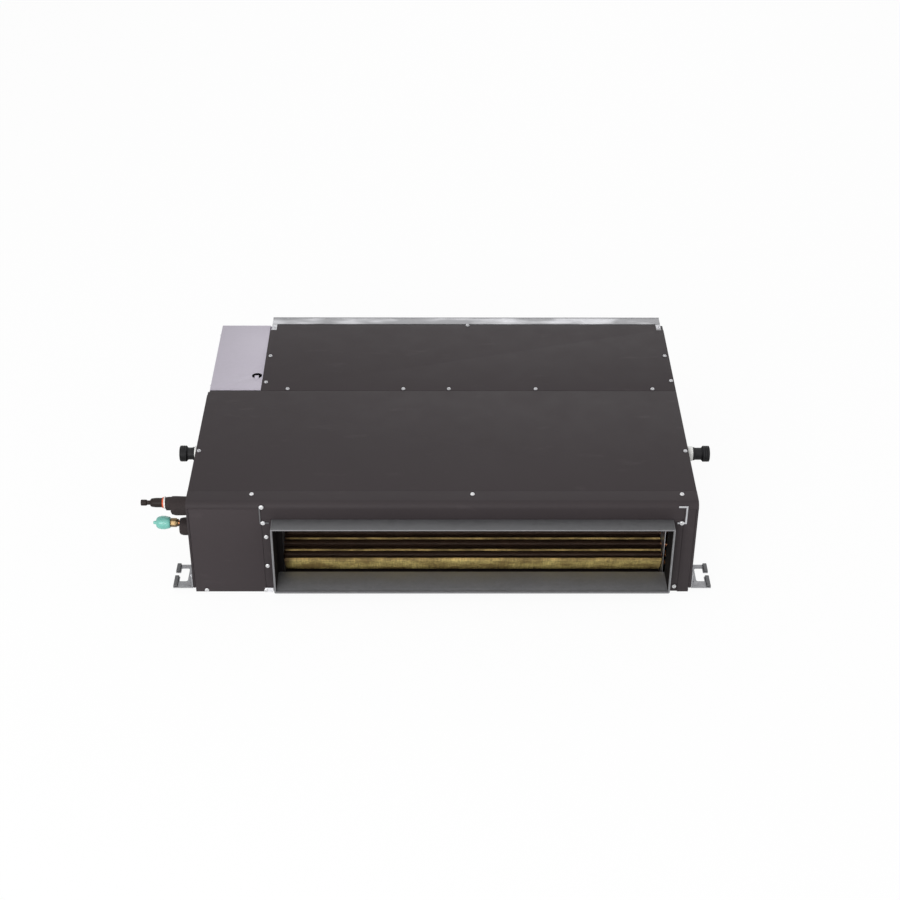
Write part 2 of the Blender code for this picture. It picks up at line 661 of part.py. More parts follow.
def fan_deck():
    """Upright plate between fan and coil, with an opening for each blower and a top flange for screws."""
    side_top = UNDER_COVER - SHEET - GAP
    left, right = DECK_FLANGE_X
    edge = INNER_W - SHEET - GAP
    deck = blocks([((-edge, COVER_SEAM_Y, FLOOR), (edge, DECK_Y, side_top))])
    join(deck, blocks([((left, COVER_SEAM_Y, side_top - SHEET), (right, DECK_Y, UNDER_COVER))]))
    join(deck, blocks([((left, COVER_SEAM_Y + SHEET / 2, UNDER_COVER - SHEET),
                        (right, COVER_SEAM_Y + DECK_FLANGE, UNDER_COVER))]))
    half = HOUSING_LENGTH / 2 - HOUSING_WALL
    openings = []
    for centre in HOUSING_X:
        openings.append(((centre - half, COVER_SEAM_Y - SHEET, NECK_LOW),
                         (centre + half, DECK_Y + SHEET, NECK_HIGH)))
    cut(deck, blocks(openings))
    for x in SEAM_SCREW_X:
        cut(deck, rod(SCREW_SHANK_RADIUS + GAP, (x, SEAM_SCREW_Y, UNDER_COVER - 2 * SHEET),
                      3 * SHEET, SHANK_SIDES, "Z"))
    return dress(deck, "fan_deck", DULL_STEEL, 0.45, 1.0)


def fan_side_plate():
    """Plate that closes the fan chamber beside the electrical box, folded over to carry the cover."""
    x = SIDE_PLATE_X
    tip = DECK_FLANGE_X[0] - 2 * SHEET
    loop = [(x - SHEET, FLOOR), (x, FLOOR), (x, UNDER_COVER - SHEET), (tip, UNDER_COVER - SHEET),
            (tip, UNDER_COVER), (x - SHEET, UNDER_COVER)]
    plate = outline([loop], "Y", DECK_Y + GAP, INNER_D - SHEET - GAP)
    return dress(plate, "fan_side_plate", DULL_STEEL, 0.45, 1.0)


def scroll_points(extra):
    """Scroll of a blower housing seen along X, from its mouth at the deck round the wheel."""
    points = []
    for i in range(SCROLL_STEPS + 1):
        share = i / SCROLL_STEPS
        angle = SCROLL_START + (SCROLL_END - SCROLL_START) * share
        radius = WHEEL_RADIUS + HOUSING_CLEAR + HOUSING_GROWTH * share + extra
        points.append((FAN_AXIS_Y + radius * math.cos(angle),
                       FAN_AXIS_Z + radius * math.sin(angle)))
    return points


def blower_housing(side, centre):
    """Two shells that part at the height of the shaft."""
    half = HOUSING_LENGTH / 2
    inside = half - HOUSING_WALL
    mouth = DECK_Y + GAP
    outer = scroll_points(HOUSING_WALL)
    outer += [(mouth, NECK_LOW - HOUSING_WALL), (mouth, NECK_HIGH + HOUSING_WALL)]
    inner = scroll_points(0) + [(mouth - SHEET, NECK_LOW), (mouth - SHEET, NECK_HIGH)]
    halves = {"lower": (0, FAN_AXIS_Z - GAP / 2), "upper": (FAN_AXIS_Z + GAP / 2, BODY_HEIGHT)}
    for name, (low, high) in halves.items():
        shell = outline([outer], "X", centre - half, centre + half)
        cut(shell, outline([inner], "X", centre - inside, centre + inside))
        cut(shell, rod(HOUSING_INLET, (centre - HOUSING_LENGTH, FAN_AXIS_Y, FAN_AXIS_Z),
                       2 * HOUSING_LENGTH))
        keep = ((centre - HOUSING_LENGTH, COVER_SEAM_Y, low), (centre + HOUSING_LENGTH, HALF_D, high))
        boolean(shell, blocks([keep]), "INTERSECT")
        dress(shell, f"blower_housing_{side}_{name}", BLACK_PLASTIC)


def blower_wheel(side, centre, axis):
    """Drum with forward-leaning blades each side of a disc and its hub."""
    bore = SHAFT_RADIUS + GAP
    inside = WHEEL_RADIUS - WHEEL_BLADE
    half = WHEEL_LENGTH / 2
    web = WHEEL_DISC / 2
    profile = [(-WHEEL_HUB, bore), (WHEEL_HUB, bore), (WHEEL_HUB, WHEEL_HUB), (web, WHEEL_HUB),
               (web, inside), (half, inside), (half, WHEEL_RADIUS), (-half, WHEEL_RADIUS),
               (-half, inside), (-web, inside), (-web, WHEEL_HUB), (-WHEEL_HUB, WHEEL_HUB)]
    wheel = turned(profile, (centre, FAN_AXIS_Y, FAN_AXIS_Z), WHEEL_BLADES)
    slots = bmesh.new()
    length = half - web - 2 * WHEEL_RING
    spot = Matrix.Translation((centre, FAN_AXIS_Y, FAN_AXIS_Z))
    out = Matrix.Translation((0, WHEEL_RADIUS - WHEEL_BLADE / 2, 0))
    lean = out @ Matrix.Rotation(BLADE_LEAN, 4, "X")
    size = Matrix.Diagonal((length, 2 * WHEEL_BLADE, BLADE_SLOT, 1))
    for i in range(WHEEL_BLADES):
        spin = Matrix.Rotation(math.tau * (i + 0.5) / WHEEL_BLADES, 4, "X")
        for end in (-1, 1):
            along = Matrix.Translation((end * (web + WHEEL_RING + length / 2), 0, 0))
            bmesh.ops.create_cube(slots, size=1, matrix=spot @ spin @ along @ lean @ size)
    mesh = bpy.data.meshes.new("slots")
    slots.to_mesh(mesh)
    slots.free()
    cutter = bpy.data.objects.new("slots", mesh)
    PARTS.objects.link(cutter)
    cut(wheel, cutter)
    return on_axis(dress(wheel, f"blower_wheel_{side}", BLACK_PLASTIC), axis)


def on_axis(obj, axis):
    """Move the origin of a turning piece to the fan's axis and hang it from the axis empty."""
    obj.data.transform(Matrix.Translation(-axis.location))
    obj.parent = axis
    return obj


def motor_shaft(axis):
    reach = HOUSING_X[1] - SHAFT_MID_X + WHEEL_HUB
    shaft = rod(SHAFT_RADIUS, (SHAFT_MID_X - reach, FAN_AXIS_Y, FAN_AXIS_Z), 2 * reach, SMALL_SIDES)
    return on_axis(dress(shaft, "motor_shaft", GALVANISED, 0.25, 1.0), axis)


def motor():
    half = MOTOR_LENGTH / 2
    end = half + MOTOR_BOSS_LENGTH
    bore = SHAFT_RADIUS + GAP
    profile = [(-end, bore), (end, bore), (end, MOTOR_BOSS), (half, MOTOR_BOSS), (half, MOTOR_RADIUS),
               (-half, MOTOR_RADIUS), (-half, MOTOR_BOSS), (-end, MOTOR_BOSS)]
    body = turned(profile, (SHAFT_MID_X, FAN_AXIS_Y, FAN_AXIS_Z), MOTOR_SIDES)
    return dress(body, "motor", DULL_STEEL, 0.4, 1.0)


def arc(radius, first, last, centre=(0, 0)):
    steps = math.ceil(abs(last - first) / ARC_STEP)
    angles = [first + (last - first) * i / steps for i in range(steps + 1)]
    return [(centre[0] + radius * math.cos(a), centre[1] + radius * math.sin(a)) for a in angles]


def motor_bracket():
    """Cradle that stands on the tray's floor and takes the motor from below."""
    near = FAN_AXIS_Y - CRADLE_HALF
    far = FAN_AXIS_Y + CRADLE_HALF
    ledge = FAN_AXIS_Z - MOTOR_SEAT * math.sin(CRADLE_ANGLE)
    bowl = arc(MOTOR_SEAT, -CRADLE_ANGLE, -math.pi + CRADLE_ANGLE, (FAN_AXIS_Y, FAN_AXIS_Z))
    loop = [(near, ledge), (near, FLOOR), (far, FLOOR), (far, ledge)] + bowl
    half = MOTOR_LENGTH / 2 - BAND_WIDTH / 2
    cradle = outline([loop], "X", SHAFT_MID_X - half, SHAFT_MID_X + half)
    low = (SHAFT_MID_X - MOTOR_LENGTH, FAN_AXIS_Y - CRADLE_WINDOW / 2, FLOOR + 2 * SHEET)
    high = (SHAFT_MID_X + MOTOR_LENGTH, FAN_AXIS_Y + CRADLE_WINDOW / 2, FAN_AXIS_Z - MOTOR_SEAT - 3 * SHEET)
    cut(cradle, blocks([(low, high)]))
    return dress(cradle, "motor_bracket", DULL_STEEL, 0.45, 1.0)


def motor_band(name, centre_x):
    """Strap over the motor with a foot each side on the cradle's ledges."""
    inner = MOTOR_SEAT
    outer = inner + BAND_THICK
    foot = -inner * math.sin(CRADLE_ANGLE) + GAP
    inner_angle = math.asin(foot / inner)
    outer_angle = math.asin((foot + BAND_THICK) / outer)
    loop = arc(inner, inner_angle, math.pi - inner_angle)
    loop += [(-CRADLE_HALF, foot), (-CRADLE_HALF, foot + BAND_THICK)]
    loop += arc(outer, math.pi - outer_angle, outer_angle)
    loop += [(CRADLE_HALF, foot + BAND_THICK), (CRADLE_HALF, foot)]
    loop = [(FAN_AXIS_Y + across, FAN_AXIS_Z + up) for across, up in loop]
    band = outline([loop], "X", centre_x - BAND_WIDTH / 2, centre_x + BAND_WIDTH / 2)
    return dress(band, name, GALVANISED, 0.4, 1.0)


# Coil

def tube_spots():
    """Centres of the tubes in the fin pack, one list of (Y, Z) for each row."""
    pitch = COIL_LENGTH / COIL_PASSES
    rows = []
    for row in range(COIL_ROWS):
        aside = row - (COIL_ROWS - 1) / 2
        spots = []
        for i in range(COIL_PASSES):
            along = pitch * (i + 0.5 + ROW_STAGGER * aside)
            spot = COIL_FOOT + RISE * along + ACROSS * COIL_THICK / COIL_ROWS * aside
            spots.append((spot.y, spot.z))
        rows.append(spots)
    return rows


def cut_tube_holes(plate):
    """Holes for the coil's tubes, whose flats clear them."""
    starts = [(COIL_LEFT - TUBE_STUB, y, z) for row in tube_spots() for y, z in row]
    radius = (TUBE_RADIUS + GAP) / math.cos(math.pi / TUBE_SIDES)
    return cut(plate, rods(radius, starts, COIL_RIGHT - COIL_LEFT + 2 * TUBE_STUB, TUBE_SIDES))


def fin_pack():
    half = ACROSS * COIL_THICK / 2
    corners = (COIL_FOOT - half, COIL_HEAD - half, COIL_HEAD + half, COIL_FOOT + half)
    loop = [(corner.y, corner.z) for corner in corners]
    pack = outline([loop], "X", COIL_LEFT + GAP, COIL_RIGHT - GAP)
    return dress(cut_tube_holes(pack), "fin_pack", GOLD_FIN, 0.45, 0.6)


def tube_sheet(name, low_x):
    """End plate of the coil, standing on the tray and reaching up to the drain pan."""
    low = (-HALF_D + OUTLET_INSIDE + SHEET, FLOOR)
    loop = rectangle(low, (COIL_HEAD.y + TUBE_SHEET_BEHIND, PAN_LOW - GAP))
    plate = outline([loop], "X", low_x, low_x + SHEET)
    return dress(cut_tube_holes(plate), name, GALVANISED, 0.4, 1.0)


def bend(points, x, outward, first, second):
    """Half-round return bend from the tube at first to the tube at second."""
    middle = (Vector(first) + Vector(second)) / 2
    half = (Vector(first) - Vector(second)) / 2
    for i in range(BEND_STEPS + 1):
        angle = math.pi * i / BEND_STEPS
        spot = middle + half * math.cos(angle)
        points.append((x + outward * BEND_REACH * math.sin(angle), spot.x, spot.y))


def coil_tube():
    """One tube that runs to and fro through both rows and ends twice on the left."""
    left = COIL_LEFT - 2 * SHEET
    right = COIL_RIGHT + 2 * SHEET
    rows = tube_spots()
    order = rows[0] + rows[1][::-1]
    points = [(COIL_LEFT - TUBE_STUB, *order[0])]
    for i, (first, second) in enumerate(zip(order, order[1:])):
        if i % 2 == 0:
            bend(points, right, 1, first, second)
        else:
            bend(points, left, -1, first, second)
    points.append((COIL_LEFT - TUBE_STUB, *order[-1]))
    return dress(tube(points, TUBE_RADIUS), "coil_tube", COPPER, 0.3, 1.0)


def tube(points, radius, resolution=2):
    """Solid round bar along a line of points."""
    curve = bpy.data.curves.new("tube", "CURVE")
    curve.dimensions = "3D"
    curve.bevel_depth = radius
    curve.bevel_resolution = resolution
    curve.use_fill_caps = True
    spline = curve.splines.new("POLY")
    spline.points.add(len(points) - 1)
    for point, place_at in zip(spline.points, points):
        point.co = (*place_at, 1)
    obj = bpy.data.objects.new("tube", curve)
    PARTS.objects.link(obj)
    return as_mesh(obj)


def rounded(corners, cutback, steps=4):
    """A line through the corners with each inner corner rounded off."""
    corners = [Vector(corner) for corner in corners]
    points = [corners[0]]
    for before, corner, after in zip(corners, corners[1:], corners[2:]):
        first = corner + (before - corner).normalized() * cutback
        last = corner + (after - corner).normalized() * cutback
        for i in range(steps + 1):
            share = i / steps
            points.append(first.lerp(corner, share).lerp(corner.lerp(last, share), share))
    points.append(corners[-1])
    return points


# Drain

def drain_pan():
    """Foam tray over the whole coil, open towards it, with a square hole each side for its nozzle."""
    pan = blocks([((-PAN_HALF, PAN_FRONT_Y, PAN_LOW), (PAN_HALF, PAN_BACK_Y, UNDER_COVER))])
    cut(pan, blocks([((-PAN_HALF + PAN_WALL, PAN_FRONT_Y + PAN_WALL, PAN_LOW - PAN_WALL),
                      (PAN_HALF - PAN_WALL, PAN_BACK_Y - PAN_WALL, UNDER_COVER - PAN_WALL))]))
    half = DRAIN_BLOCK + GAP
    for side in (-1, 1):
        near, far = sorted((side * (PAN_HALF - PAN_WALL - GAP), side * (PAN_HALF + PAN_WALL)))
        cut(pan, blocks([((near, DRAIN_Y - half, DRAIN_Z - half), (far, DRAIN_Y + half, DRAIN_Z + half))]))
    return dress(pan, "drain_pan", FOAM_WHITE, 0.8)


def drain_nozzle(name, side, collar_length, reach):
    """Bored spout with a collar outside the case and a square block in the pan's wall."""
    start = PAN_HALF - PAN_WALL
    collar = HALF_W + GAP
    end = HALF_W + reach
    near, far = sorted((side * start, side * PAN_HALF))
    nozzle = from_side(DRAIN_RADIUS, side, start + PAN_WALL / 2, end, DRAIN_Y, DRAIN_Z)
    join(nozzle, from_side(DRAIN_COLLAR, side, collar, collar + collar_length, DRAIN_Y, DRAIN_Z))
    join(nozzle, blocks([((near, DRAIN_Y - DRAIN_BLOCK, DRAIN_Z - DRAIN_BLOCK),
                          (far, DRAIN_Y + DRAIN_BLOCK, DRAIN_Z + DRAIN_BLOCK))]))
    cut(nozzle, from_side(DRAIN_BORE, side, start - SHEET, end + SHEET, DRAIN_Y, DRAIN_Z))
    return dress(nozzle, name, FOAM_WHITE, 0.4)


def from_side(radius, side, near, far, y, z, sides=ROUND_SIDES):
    """A round bar between two distances from the middle plane, on the left (-1) or right (1)."""
    return rod(radius, (min(side * near, side * far), y, z), far - near, sides)


def drain_plug(name, side, collar_length, reach):
    """Rubber cap pushed over the nozzle's end."""
    near = HALF_W + 2 * GAP + collar_length
    floor = HALF_W + reach + GAP
    head = floor + SHEET
    plug = from_side(PLUG_RADIUS, side, near, floor + PLUG_HEAD_LENGTH, DRAIN_Y, DRAIN_Z)
    join(plug, from_side(PLUG_HEAD_RADIUS, side, head, head + PLUG_HEAD_LENGTH, DRAIN_Y, DRAIN_Z))
    cut(plug, from_side(DRAIN_RADIUS + GAP, side, near - SHEET, floor, DRAIN_Y, DRAIN_Z))
    return dress(plug, name, BLACK_PLASTIC, 0.5)


# Refrigerant pipes

def pipe_route(start, run, z, end_x):
    """From the coil's tube end, up through the left compartment and straight out of the side."""
    y, start_z = start
    first = COIL_LEFT - TUBE_STUB - GAP
    top_x = first - 2 * run - (z - start_z) * RISER_SLOPE
    corners = [(first, y, start_z), (first - run, y, start_z), (top_x, PIPE_Y, z), (-end_x, PIPE_Y, z)]
    return rounded(corners, PIPE_BEND)


def gas_pipe():
    end = HALF_W + GAS_REACH
    pipe = tube(pipe_route(tube_spots()[1][0], GAS_RUN, GAS_Z, end), GAS_RADIUS, 3)
    cut(pipe, from_side(GAS_PLUG_RADIUS + GAP, -1, end - GAS_PLUG_DEEP - GAP, end + SHEET,
                        PIPE_Y, GAS_Z, SMALL_SIDES))
    return dress(pipe, "gas_pipe", COPPER, 0.3, 1.0)


def gas_plug():
    end = HALF_W + GAS_REACH
    plug = from_side(GAS_PLUG_RADIUS, -1, end - GAS_PLUG_DEEP, end + GAS_PLUG_LENGTH,
                     PIPE_Y, GAS_Z, SMALL_SIDES)
    return dress(plug, "gas_plug", BLACK_PLASTIC, 0.5)


def sleeve(name, inner, outer, length, z):
    """Foam sleeve round a pipe, from the pipe plate outwards."""
    profile = [(-PIPE_X - length, inner), (-PIPE_X, inner), (-PIPE_X, outer), (-PIPE_X - length, outer)]
    return dress(turned(profile, (0, PIPE_Y, z)), name, BLACK_PLASTIC, 0.9)


def gas_foam_block():
    half = GAS_COLLAR / 2
    low = (PIPE_Y - half, GAS_Z - GAS_COLLAR_DROP - half)
    high = (PIPE_Y + half, GAS_Z - GAS_COLLAR_DROP + half)
    loops = [rectangle(low, high), hole((PIPE_Y, GAS_Z), GAS_SLEEVE_RADIUS + GAP)]
    block = outline(loops, "X", -PIPE_X - GAS_COLLAR_LENGTH, -PIPE_X)
    return dress(block, "gas_foam_block", BLACK_PLASTIC, 0.9)


def liquid_pipe():
    end = PIPE_X + LIQUID_SLEEVE_LENGTH + GAP + NUT_LENGTH
    pipe = tube(pipe_route(tube_spots()[0][0], LIQUID_RUN, LIQUID_Z, end), LIQUID_RADIUS)
    return dress(pipe, "liquid_pipe", COPPER, 0.3, 1.0)


def flare_nut():
    """Six-sided nut with its threaded nose, on the end of the liquid pipe."""
    near = PIPE_X + LIQUID_SLEEVE_LENGTH + GAP
    end = near + NUT_LENGTH + THREAD_LENGTH
    nut = from_side(NUT_RADIUS, -1, near, near + NUT_LENGTH, PIPE_Y, LIQUID_Z, NUT_SIDES)
    join(nut, from_side(THREAD_RADIUS, -1, near + NUT_LENGTH / 2, end, PIPE_Y, LIQUID_Z, SMALL_SIDES))
    cut(nut, from_side(LIQUID_RADIUS + GAP, -1, near - SHEET, end + SHEET, PIPE_Y, LIQUID_Z, SMALL_SIDES))
    return dress(nut, "flare_nut", BRASS, 0.3, 1.0)


def liquid_cap():
    """Cap over the nut's thread, with a small tip."""
    near = PIPE_X + LIQUID_SLEEVE_LENGTH + NUT_LENGTH + 2 * GAP
    far = near + CAP_LENGTH
    cap = from_side(CAP_RADIUS, -1, near, far, PIPE_Y, LIQUID_Z)
    join(cap, from_side(CAP_TIP_RADIUS, -1, far - SHEET, far + CAP_TIP, PIPE_Y, LIQUID_Z, SMALL_SIDES))
    cut(cap, from_side(THREAD_RADIUS + GAP, -1, near - SHEET, near + THREAD_LENGTH + GAP,
                       PIPE_Y, LIQUID_Z, SMALL_SIDES))
    return dress(cap, "liquid_cap", TEAL, 0.5)


def pipe_plate():
    """Cover plate over the pipe opening, with a close hole for each pipe."""
    loops = [rectangle((PIPE_PLATE_Y[0], PIPE_PLATE_Z[0]), (PIPE_PLATE_Y[1], PIPE_PLATE_Z[1])),
             hole((PIPE_Y, GAS_Z), GAS_RADIUS + GAP), hole((PIPE_Y, LIQUID_Z), LIQUID_RADIUS + GAP)]
    start = -HALF_W - GAP - PIPE_PLATE
    return dress(outline(loops, "X", start, start + PIPE_PLATE), "pipe_plate", GALVANISED, 0.4, 1.0)


# Electrical box

def electrical_box():
    """Open box with bosses for the board and a hole for the cable grommet."""
    low = (BOX_LEFT, BOX_FRONT, BOX_LOW)
    high = (BOX_RIGHT, BOX_BACK_Y, BOX_TOP)
    box = blocks([(low, high)])
    cut(box, blocks([((low[0] + BOX_WALL, low[1] + BOX_WALL, low[2] + BOX_WALL),
                      (high[0] - BOX_WALL, high[1] - BOX_WALL, high[2] + BOX_WALL))]))
    half = BOSS / 2
    bosses = []
    for x in (BOARD_LEFT + BOSS, BOARD_RIGHT - BOSS):
        for y in (BOARD_FRONT + BOSS, BOARD_BACK - BOSS):
            bosses.append(((x - half, y - half, BOX_LOW + BOX_WALL / 2),
                           (x + half, y + half, BOARD_LOW - GAP)))
    join(box, blocks(bosses))
    cut(box, rod(GROMMET_NECK + GAP, (BOX_LEFT - SHEET, GROMMET_Y, GROMMET_Z), 3 * SHEET, SMALL_SIDES))
    return dress(box, "electrical_box", GALVANISED, 0.45, 1.0)


def electrical_box_lid():
    """Lid with a turned-down edge, and a punched hole with its bent tab."""
    low = BOX_TOP + GAP
    left = BOX_LEFT - GAP - BOX_LID
    skirt = ((left, BOX_FRONT, low - BOX_SKIRT), (left + BOX_LID, BOX_BACK_Y, low + BOX_LID / 2))
    lid = blocks([((left, BOX_FRONT, low), (BOX_RIGHT, BOX_BACK_Y, low + BOX_LID))])
    join(lid, blocks([skirt]))
    x = BOX_RIGHT - BOX_HOLE_IN
    y = BOX_FRONT + BOX_HOLE_BACK
    half = BOX_HOLE / 2
    cut(lid, blocks([((x - half, y - half, low - SHEET), (x + half, y + half, low + 2 * SHEET))]))
    join(lid, blocks([((x - half / 2, y - half - BOX_LID, low + BOX_LID / 2),
                       (x + half / 2, y - half, low + BOX_LID + BOX_TAB))]))
    return dress(lid, "electrical_box_lid", GALVANISED, 0.45, 1.0)


def circuit_board():
    low = (BOARD_LEFT, BOARD_FRONT, BOARD_LOW)
    high = (BOARD_RIGHT, BOARD_BACK, BOARD_LOW + BOARD_THICK)
    return dress(blocks([(low, high)]), "circuit_board", BOARD_GREEN, 0.5)


def transformer():
    """Iron core with its winding, which stands out at two sides."""
    low = Vector((BOARD_LEFT + TRANSFORMER_IN, BOARD_FRONT + TRANSFORMER_IN, ON_BOARD))
    high = low + Vector(TRANSFORMER)
    winding = Vector(TRANSFORMER_STEP)
    core = blocks([(low, high)])
    join(core, blocks([(low + winding, high - winding)]))
    return dress(core, "transformer", DULL_STEEL, 0.5, 0.8)


def capacitor():
    spot = (BOARD_RIGHT - CAPACITOR_IN, BOARD_BACK - CAPACITOR_FRONT, ON_BOARD)
    can = rod(CAPACITOR_RADIUS, spot, CAPACITOR_HEIGHT, SMALL_SIDES, "Z")
    return dress(can, "capacitor", BLACK_PLASTIC, 0.35)


def terminal_block():
    """Row of terminals on the box's floor, parted by ribs."""
    low = Vector((BOARD_LEFT, BOX_FRONT + 2 * BOX_WALL, BOX_LOW + BOX_WALL + GAP))
    length, depth, height = TERMINAL
    block = blocks([(low, low + Vector(TERMINAL))])
    step = length / TERMINALS
    bays = []
    for i in range(TERMINALS):
        bays.append((low + Vector((step * i + TERMINAL_RIB, depth / 4, height / 2)),
                     low + Vector((step * (i + 1) - TERMINAL_RIB, 2 * depth, 2 * height))))
    cut(block, blocks(bays))
    return dress(block, "terminal_block", TERMINAL_IVORY, 0.4)


def cable_grommet():
    """Rubber ring in the box's left wall for the supply cable."""
    out = BOX_LEFT - GAP
    inside = BOX_LEFT + BOX_WALL + GAP
    profile = [(out - SHEET, GROMMET_BORE), (inside + SHEET, GROMMET_BORE),
               (inside + SHEET, GROMMET_FLANGE), (inside, GROMMET_FLANGE), (inside, GROMMET_NECK),
               (out, GROMMET_NECK), (out, GROMMET_FLANGE), (out - SHEET, GROMMET_FLANGE)]
    ring = turned(profile, (0, GROMMET_Y, GROMMET_Z), SMALL_SIDES)
    return dress(ring, "cable_grommet", BLACK_PLASTIC, 0.6)


# Hanging brackets

def hanger(name, side, y):
    """Angle on the side panel: its shelf has a slot, open outwards, for the hanging bolt."""
    root = HALF_W + GAP
    tip = root + HANGER_REACH
    inside = tip - HANGER_THICK
    half = HANGER_WIDTH / 2
    low = HANGER_Z - HANGER_THICK
    lip = HANGER_Z + SLOT_UPTURN
    top = LOW_STRIP
    section = [(root, low), (tip, low), (tip, lip), (inside, lip), (inside, HANGER_Z),
               (root + HANGER_THICK, HANGER_Z), (root + HANGER_THICK, top), (root, top)]
    bracket = outline([[(side * x, z) for x, z in section]], "Y", y - half, y + half)
    slot = (tip - SLOT_LIP - SLOT_DEPTH, tip - SLOT_LIP, SLOT_WIDTH)
    mouth = (tip - SLOT_LIP - SHEET, tip + SHEET, SLOT_MOUTH)
    for near, far, width in (slot, mouth):
        left, right = sorted((side * near, side * far))
        cut(bracket, blocks([((left, y - width / 2, low - SHEET), (right, y + width / 2, lip + SHEET))]))
    return dress(bracket, name, GALVANISED, 0.4, 1.0)


# The whole unit

def build():
    ceiling_tray()
    left_side_panel()
    right_side_panel()
    front_rail()
    front_left_panel()
    front_right_post()
    coil_cover()
    fan_cover()
    for number, x in enumerate(SEAM_SCREW_X, start=1):
        cover_screw(number, x)
    outlet_collar()
    return_collar()
    air_filter()
    rail_tie("rail_tie_left", LIP_LEFT - TIE_LEFT_STEP, 1)
    rail_tie("rail_tie_right", POST_X + TIE_RIGHT_STEP, -1)

    fan_axis = bpy.data.objects.new("fan_axis", None)
    PARTS.objects.link(fan_axis)
    fan_axis.location = (SHAFT_MID_X, FAN_AXIS_Y, FAN_AXIS_Z)
    bpy.context.view_layer.update()
    fan_deck()
    fan_side_plate()
    for side, centre in zip(("left", "right"), HOUSING_X):
        blower_housing(side, centre)
        blower_wheel(side, centre, fan_axis)
    motor_shaft(fan_axis)
    motor()
    motor_bracket()
    band_offset = MOTOR_LENGTH / 2 - BAND_WIDTH
    motor_band("motor_band_left", SHAFT_MID_X - band_offset)
    motor_band("motor_band_right", SHAFT_MID_X + band_offset)

    fin_pack()
    tube_sheet("tube_sheet_left", COIL_LEFT - SHEET)
    tube_sheet("tube_sheet_right", COIL_RIGHT)
    coil_tube()
    drain_pan()
    for name, side, collar_length, reach in (("left", -1, LEFT_DRAIN_COLLAR, LEFT_DRAIN_REACH),
                                             ("right", 1, RIGHT_DRAIN_COLLAR, RIGHT_DRAIN_REACH)):
        drain_nozzle("drain_nozzle_" + name, side, collar_length, reach)
        drain_plug("drain_plug_" + name, side, collar_length, reach)

    gas_pipe()
    gas_plug()
    sleeve("gas_sleeve", GAS_RADIUS + GAP, GAS_SLEEVE_RADIUS, GAS_SLEEVE_LENGTH, GAS_Z)
    gas_foam_block()
    liquid_pipe()
    sleeve("liquid_sleeve", LIQUID_RADIUS + GAP, LIQUID_SLEEVE_RADIUS, LIQUID_SLEEVE_LENGTH, LIQUID_Z)
    flare_nut()
    liquid_cap()
    pipe_plate()

    electrical_box()
    electrical_box_lid()
    circuit_board()
    transformer()
    capacitor()
    terminal_block()
    cable_grommet()
    for side_name, side in (("left", -1), ("right", 1)):
        hanger("hanger_front_" + side_name, side, -HALF_D + HANGER_FRONT_SPACE)
        hanger("hanger_rear_" + side_name, side, HALF_D - HANGER_REAR_SPACE)


build()
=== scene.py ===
import json
import math
import random

import bmesh
import bpy
from bpy.props import FloatProperty, FloatVectorProperty, IntProperty, PointerProperty
from mathutils import Matrix, Vector


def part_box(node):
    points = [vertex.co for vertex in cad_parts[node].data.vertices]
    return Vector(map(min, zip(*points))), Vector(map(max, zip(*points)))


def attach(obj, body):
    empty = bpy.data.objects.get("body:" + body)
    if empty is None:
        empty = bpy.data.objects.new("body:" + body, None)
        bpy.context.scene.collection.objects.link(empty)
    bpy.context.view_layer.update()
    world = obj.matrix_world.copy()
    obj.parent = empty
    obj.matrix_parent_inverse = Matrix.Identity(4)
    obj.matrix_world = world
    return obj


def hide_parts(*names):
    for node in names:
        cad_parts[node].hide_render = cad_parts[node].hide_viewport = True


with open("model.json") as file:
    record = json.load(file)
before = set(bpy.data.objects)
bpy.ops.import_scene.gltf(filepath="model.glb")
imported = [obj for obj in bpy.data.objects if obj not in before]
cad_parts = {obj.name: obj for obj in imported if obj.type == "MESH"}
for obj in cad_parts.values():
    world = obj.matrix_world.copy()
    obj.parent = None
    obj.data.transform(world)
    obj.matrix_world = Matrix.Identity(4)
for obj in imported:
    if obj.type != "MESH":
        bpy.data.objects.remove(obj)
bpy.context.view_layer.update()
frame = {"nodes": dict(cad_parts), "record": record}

bl_info = {
    "name": "Ducted indoor unit",
    "version": (1, 0, 0),
    "blender": (4, 5, 0),
    "location": "3D View > Sidebar > Ducted unit",
    "description": "Makes the pieces and finishes of a slim ducted indoor unit around its packed solids",
    "category": "Object",
}

SLOT_COLOURS = {row["slot"]: tuple(row["base_color"]) for row in frame["record"]["materials"]}
GAP = 0.0003             # clearance that the solids keep between neighbours


def low(node):
    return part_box(node)[0]


def high(node):
    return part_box(node)[1]


# Places taken from the solids, in metres
HALF_W = high("coil_cover").x
TOP = high("coil_cover").z
FRONT = low("front_rail").y
REAR = high("right_side_panel").y
SEAM_Y = low("fan_cover").y
OUTLET_LEFT = high("front_left_panel").x + GAP
OUTLET_RIGHT = low("front_right_post").x - GAP
AXIS = (low("motor") + high("motor")) / 2
PIPE_Y = (low("gas_plug").y + high("gas_plug").y) / 2
GAS_Z = (low("gas_plug").z + high("gas_plug").z) / 2
LIQUID_Z = (low("liquid_cap").z + high("liquid_cap").z) / 2
DRAIN = (low("drain_plug_left") + high("drain_plug_left")) / 2

# The coil leans back from its foot at the outlet to its head under the drain pan
COIL_TILT = math.radians(30)
COIL_FOOT = Vector((0, -0.262, 0.030))
COIL_LENGTH = 0.236
COIL_THICK = 0.036
RISE = Vector((0, math.cos(COIL_TILT), math.sin(COIL_TILT)))
ACROSS = Vector((0, -math.sin(COIL_TILT), math.cos(COIL_TILT)))


def length_property(name, default, description):
    return FloatProperty(name=name, default=default, precision=5, unit="LENGTH", description=description)


def count_property(name, default, fewest, most, description):
    return IntProperty(name=name, default=default, min=fewest, max=most, description=description)


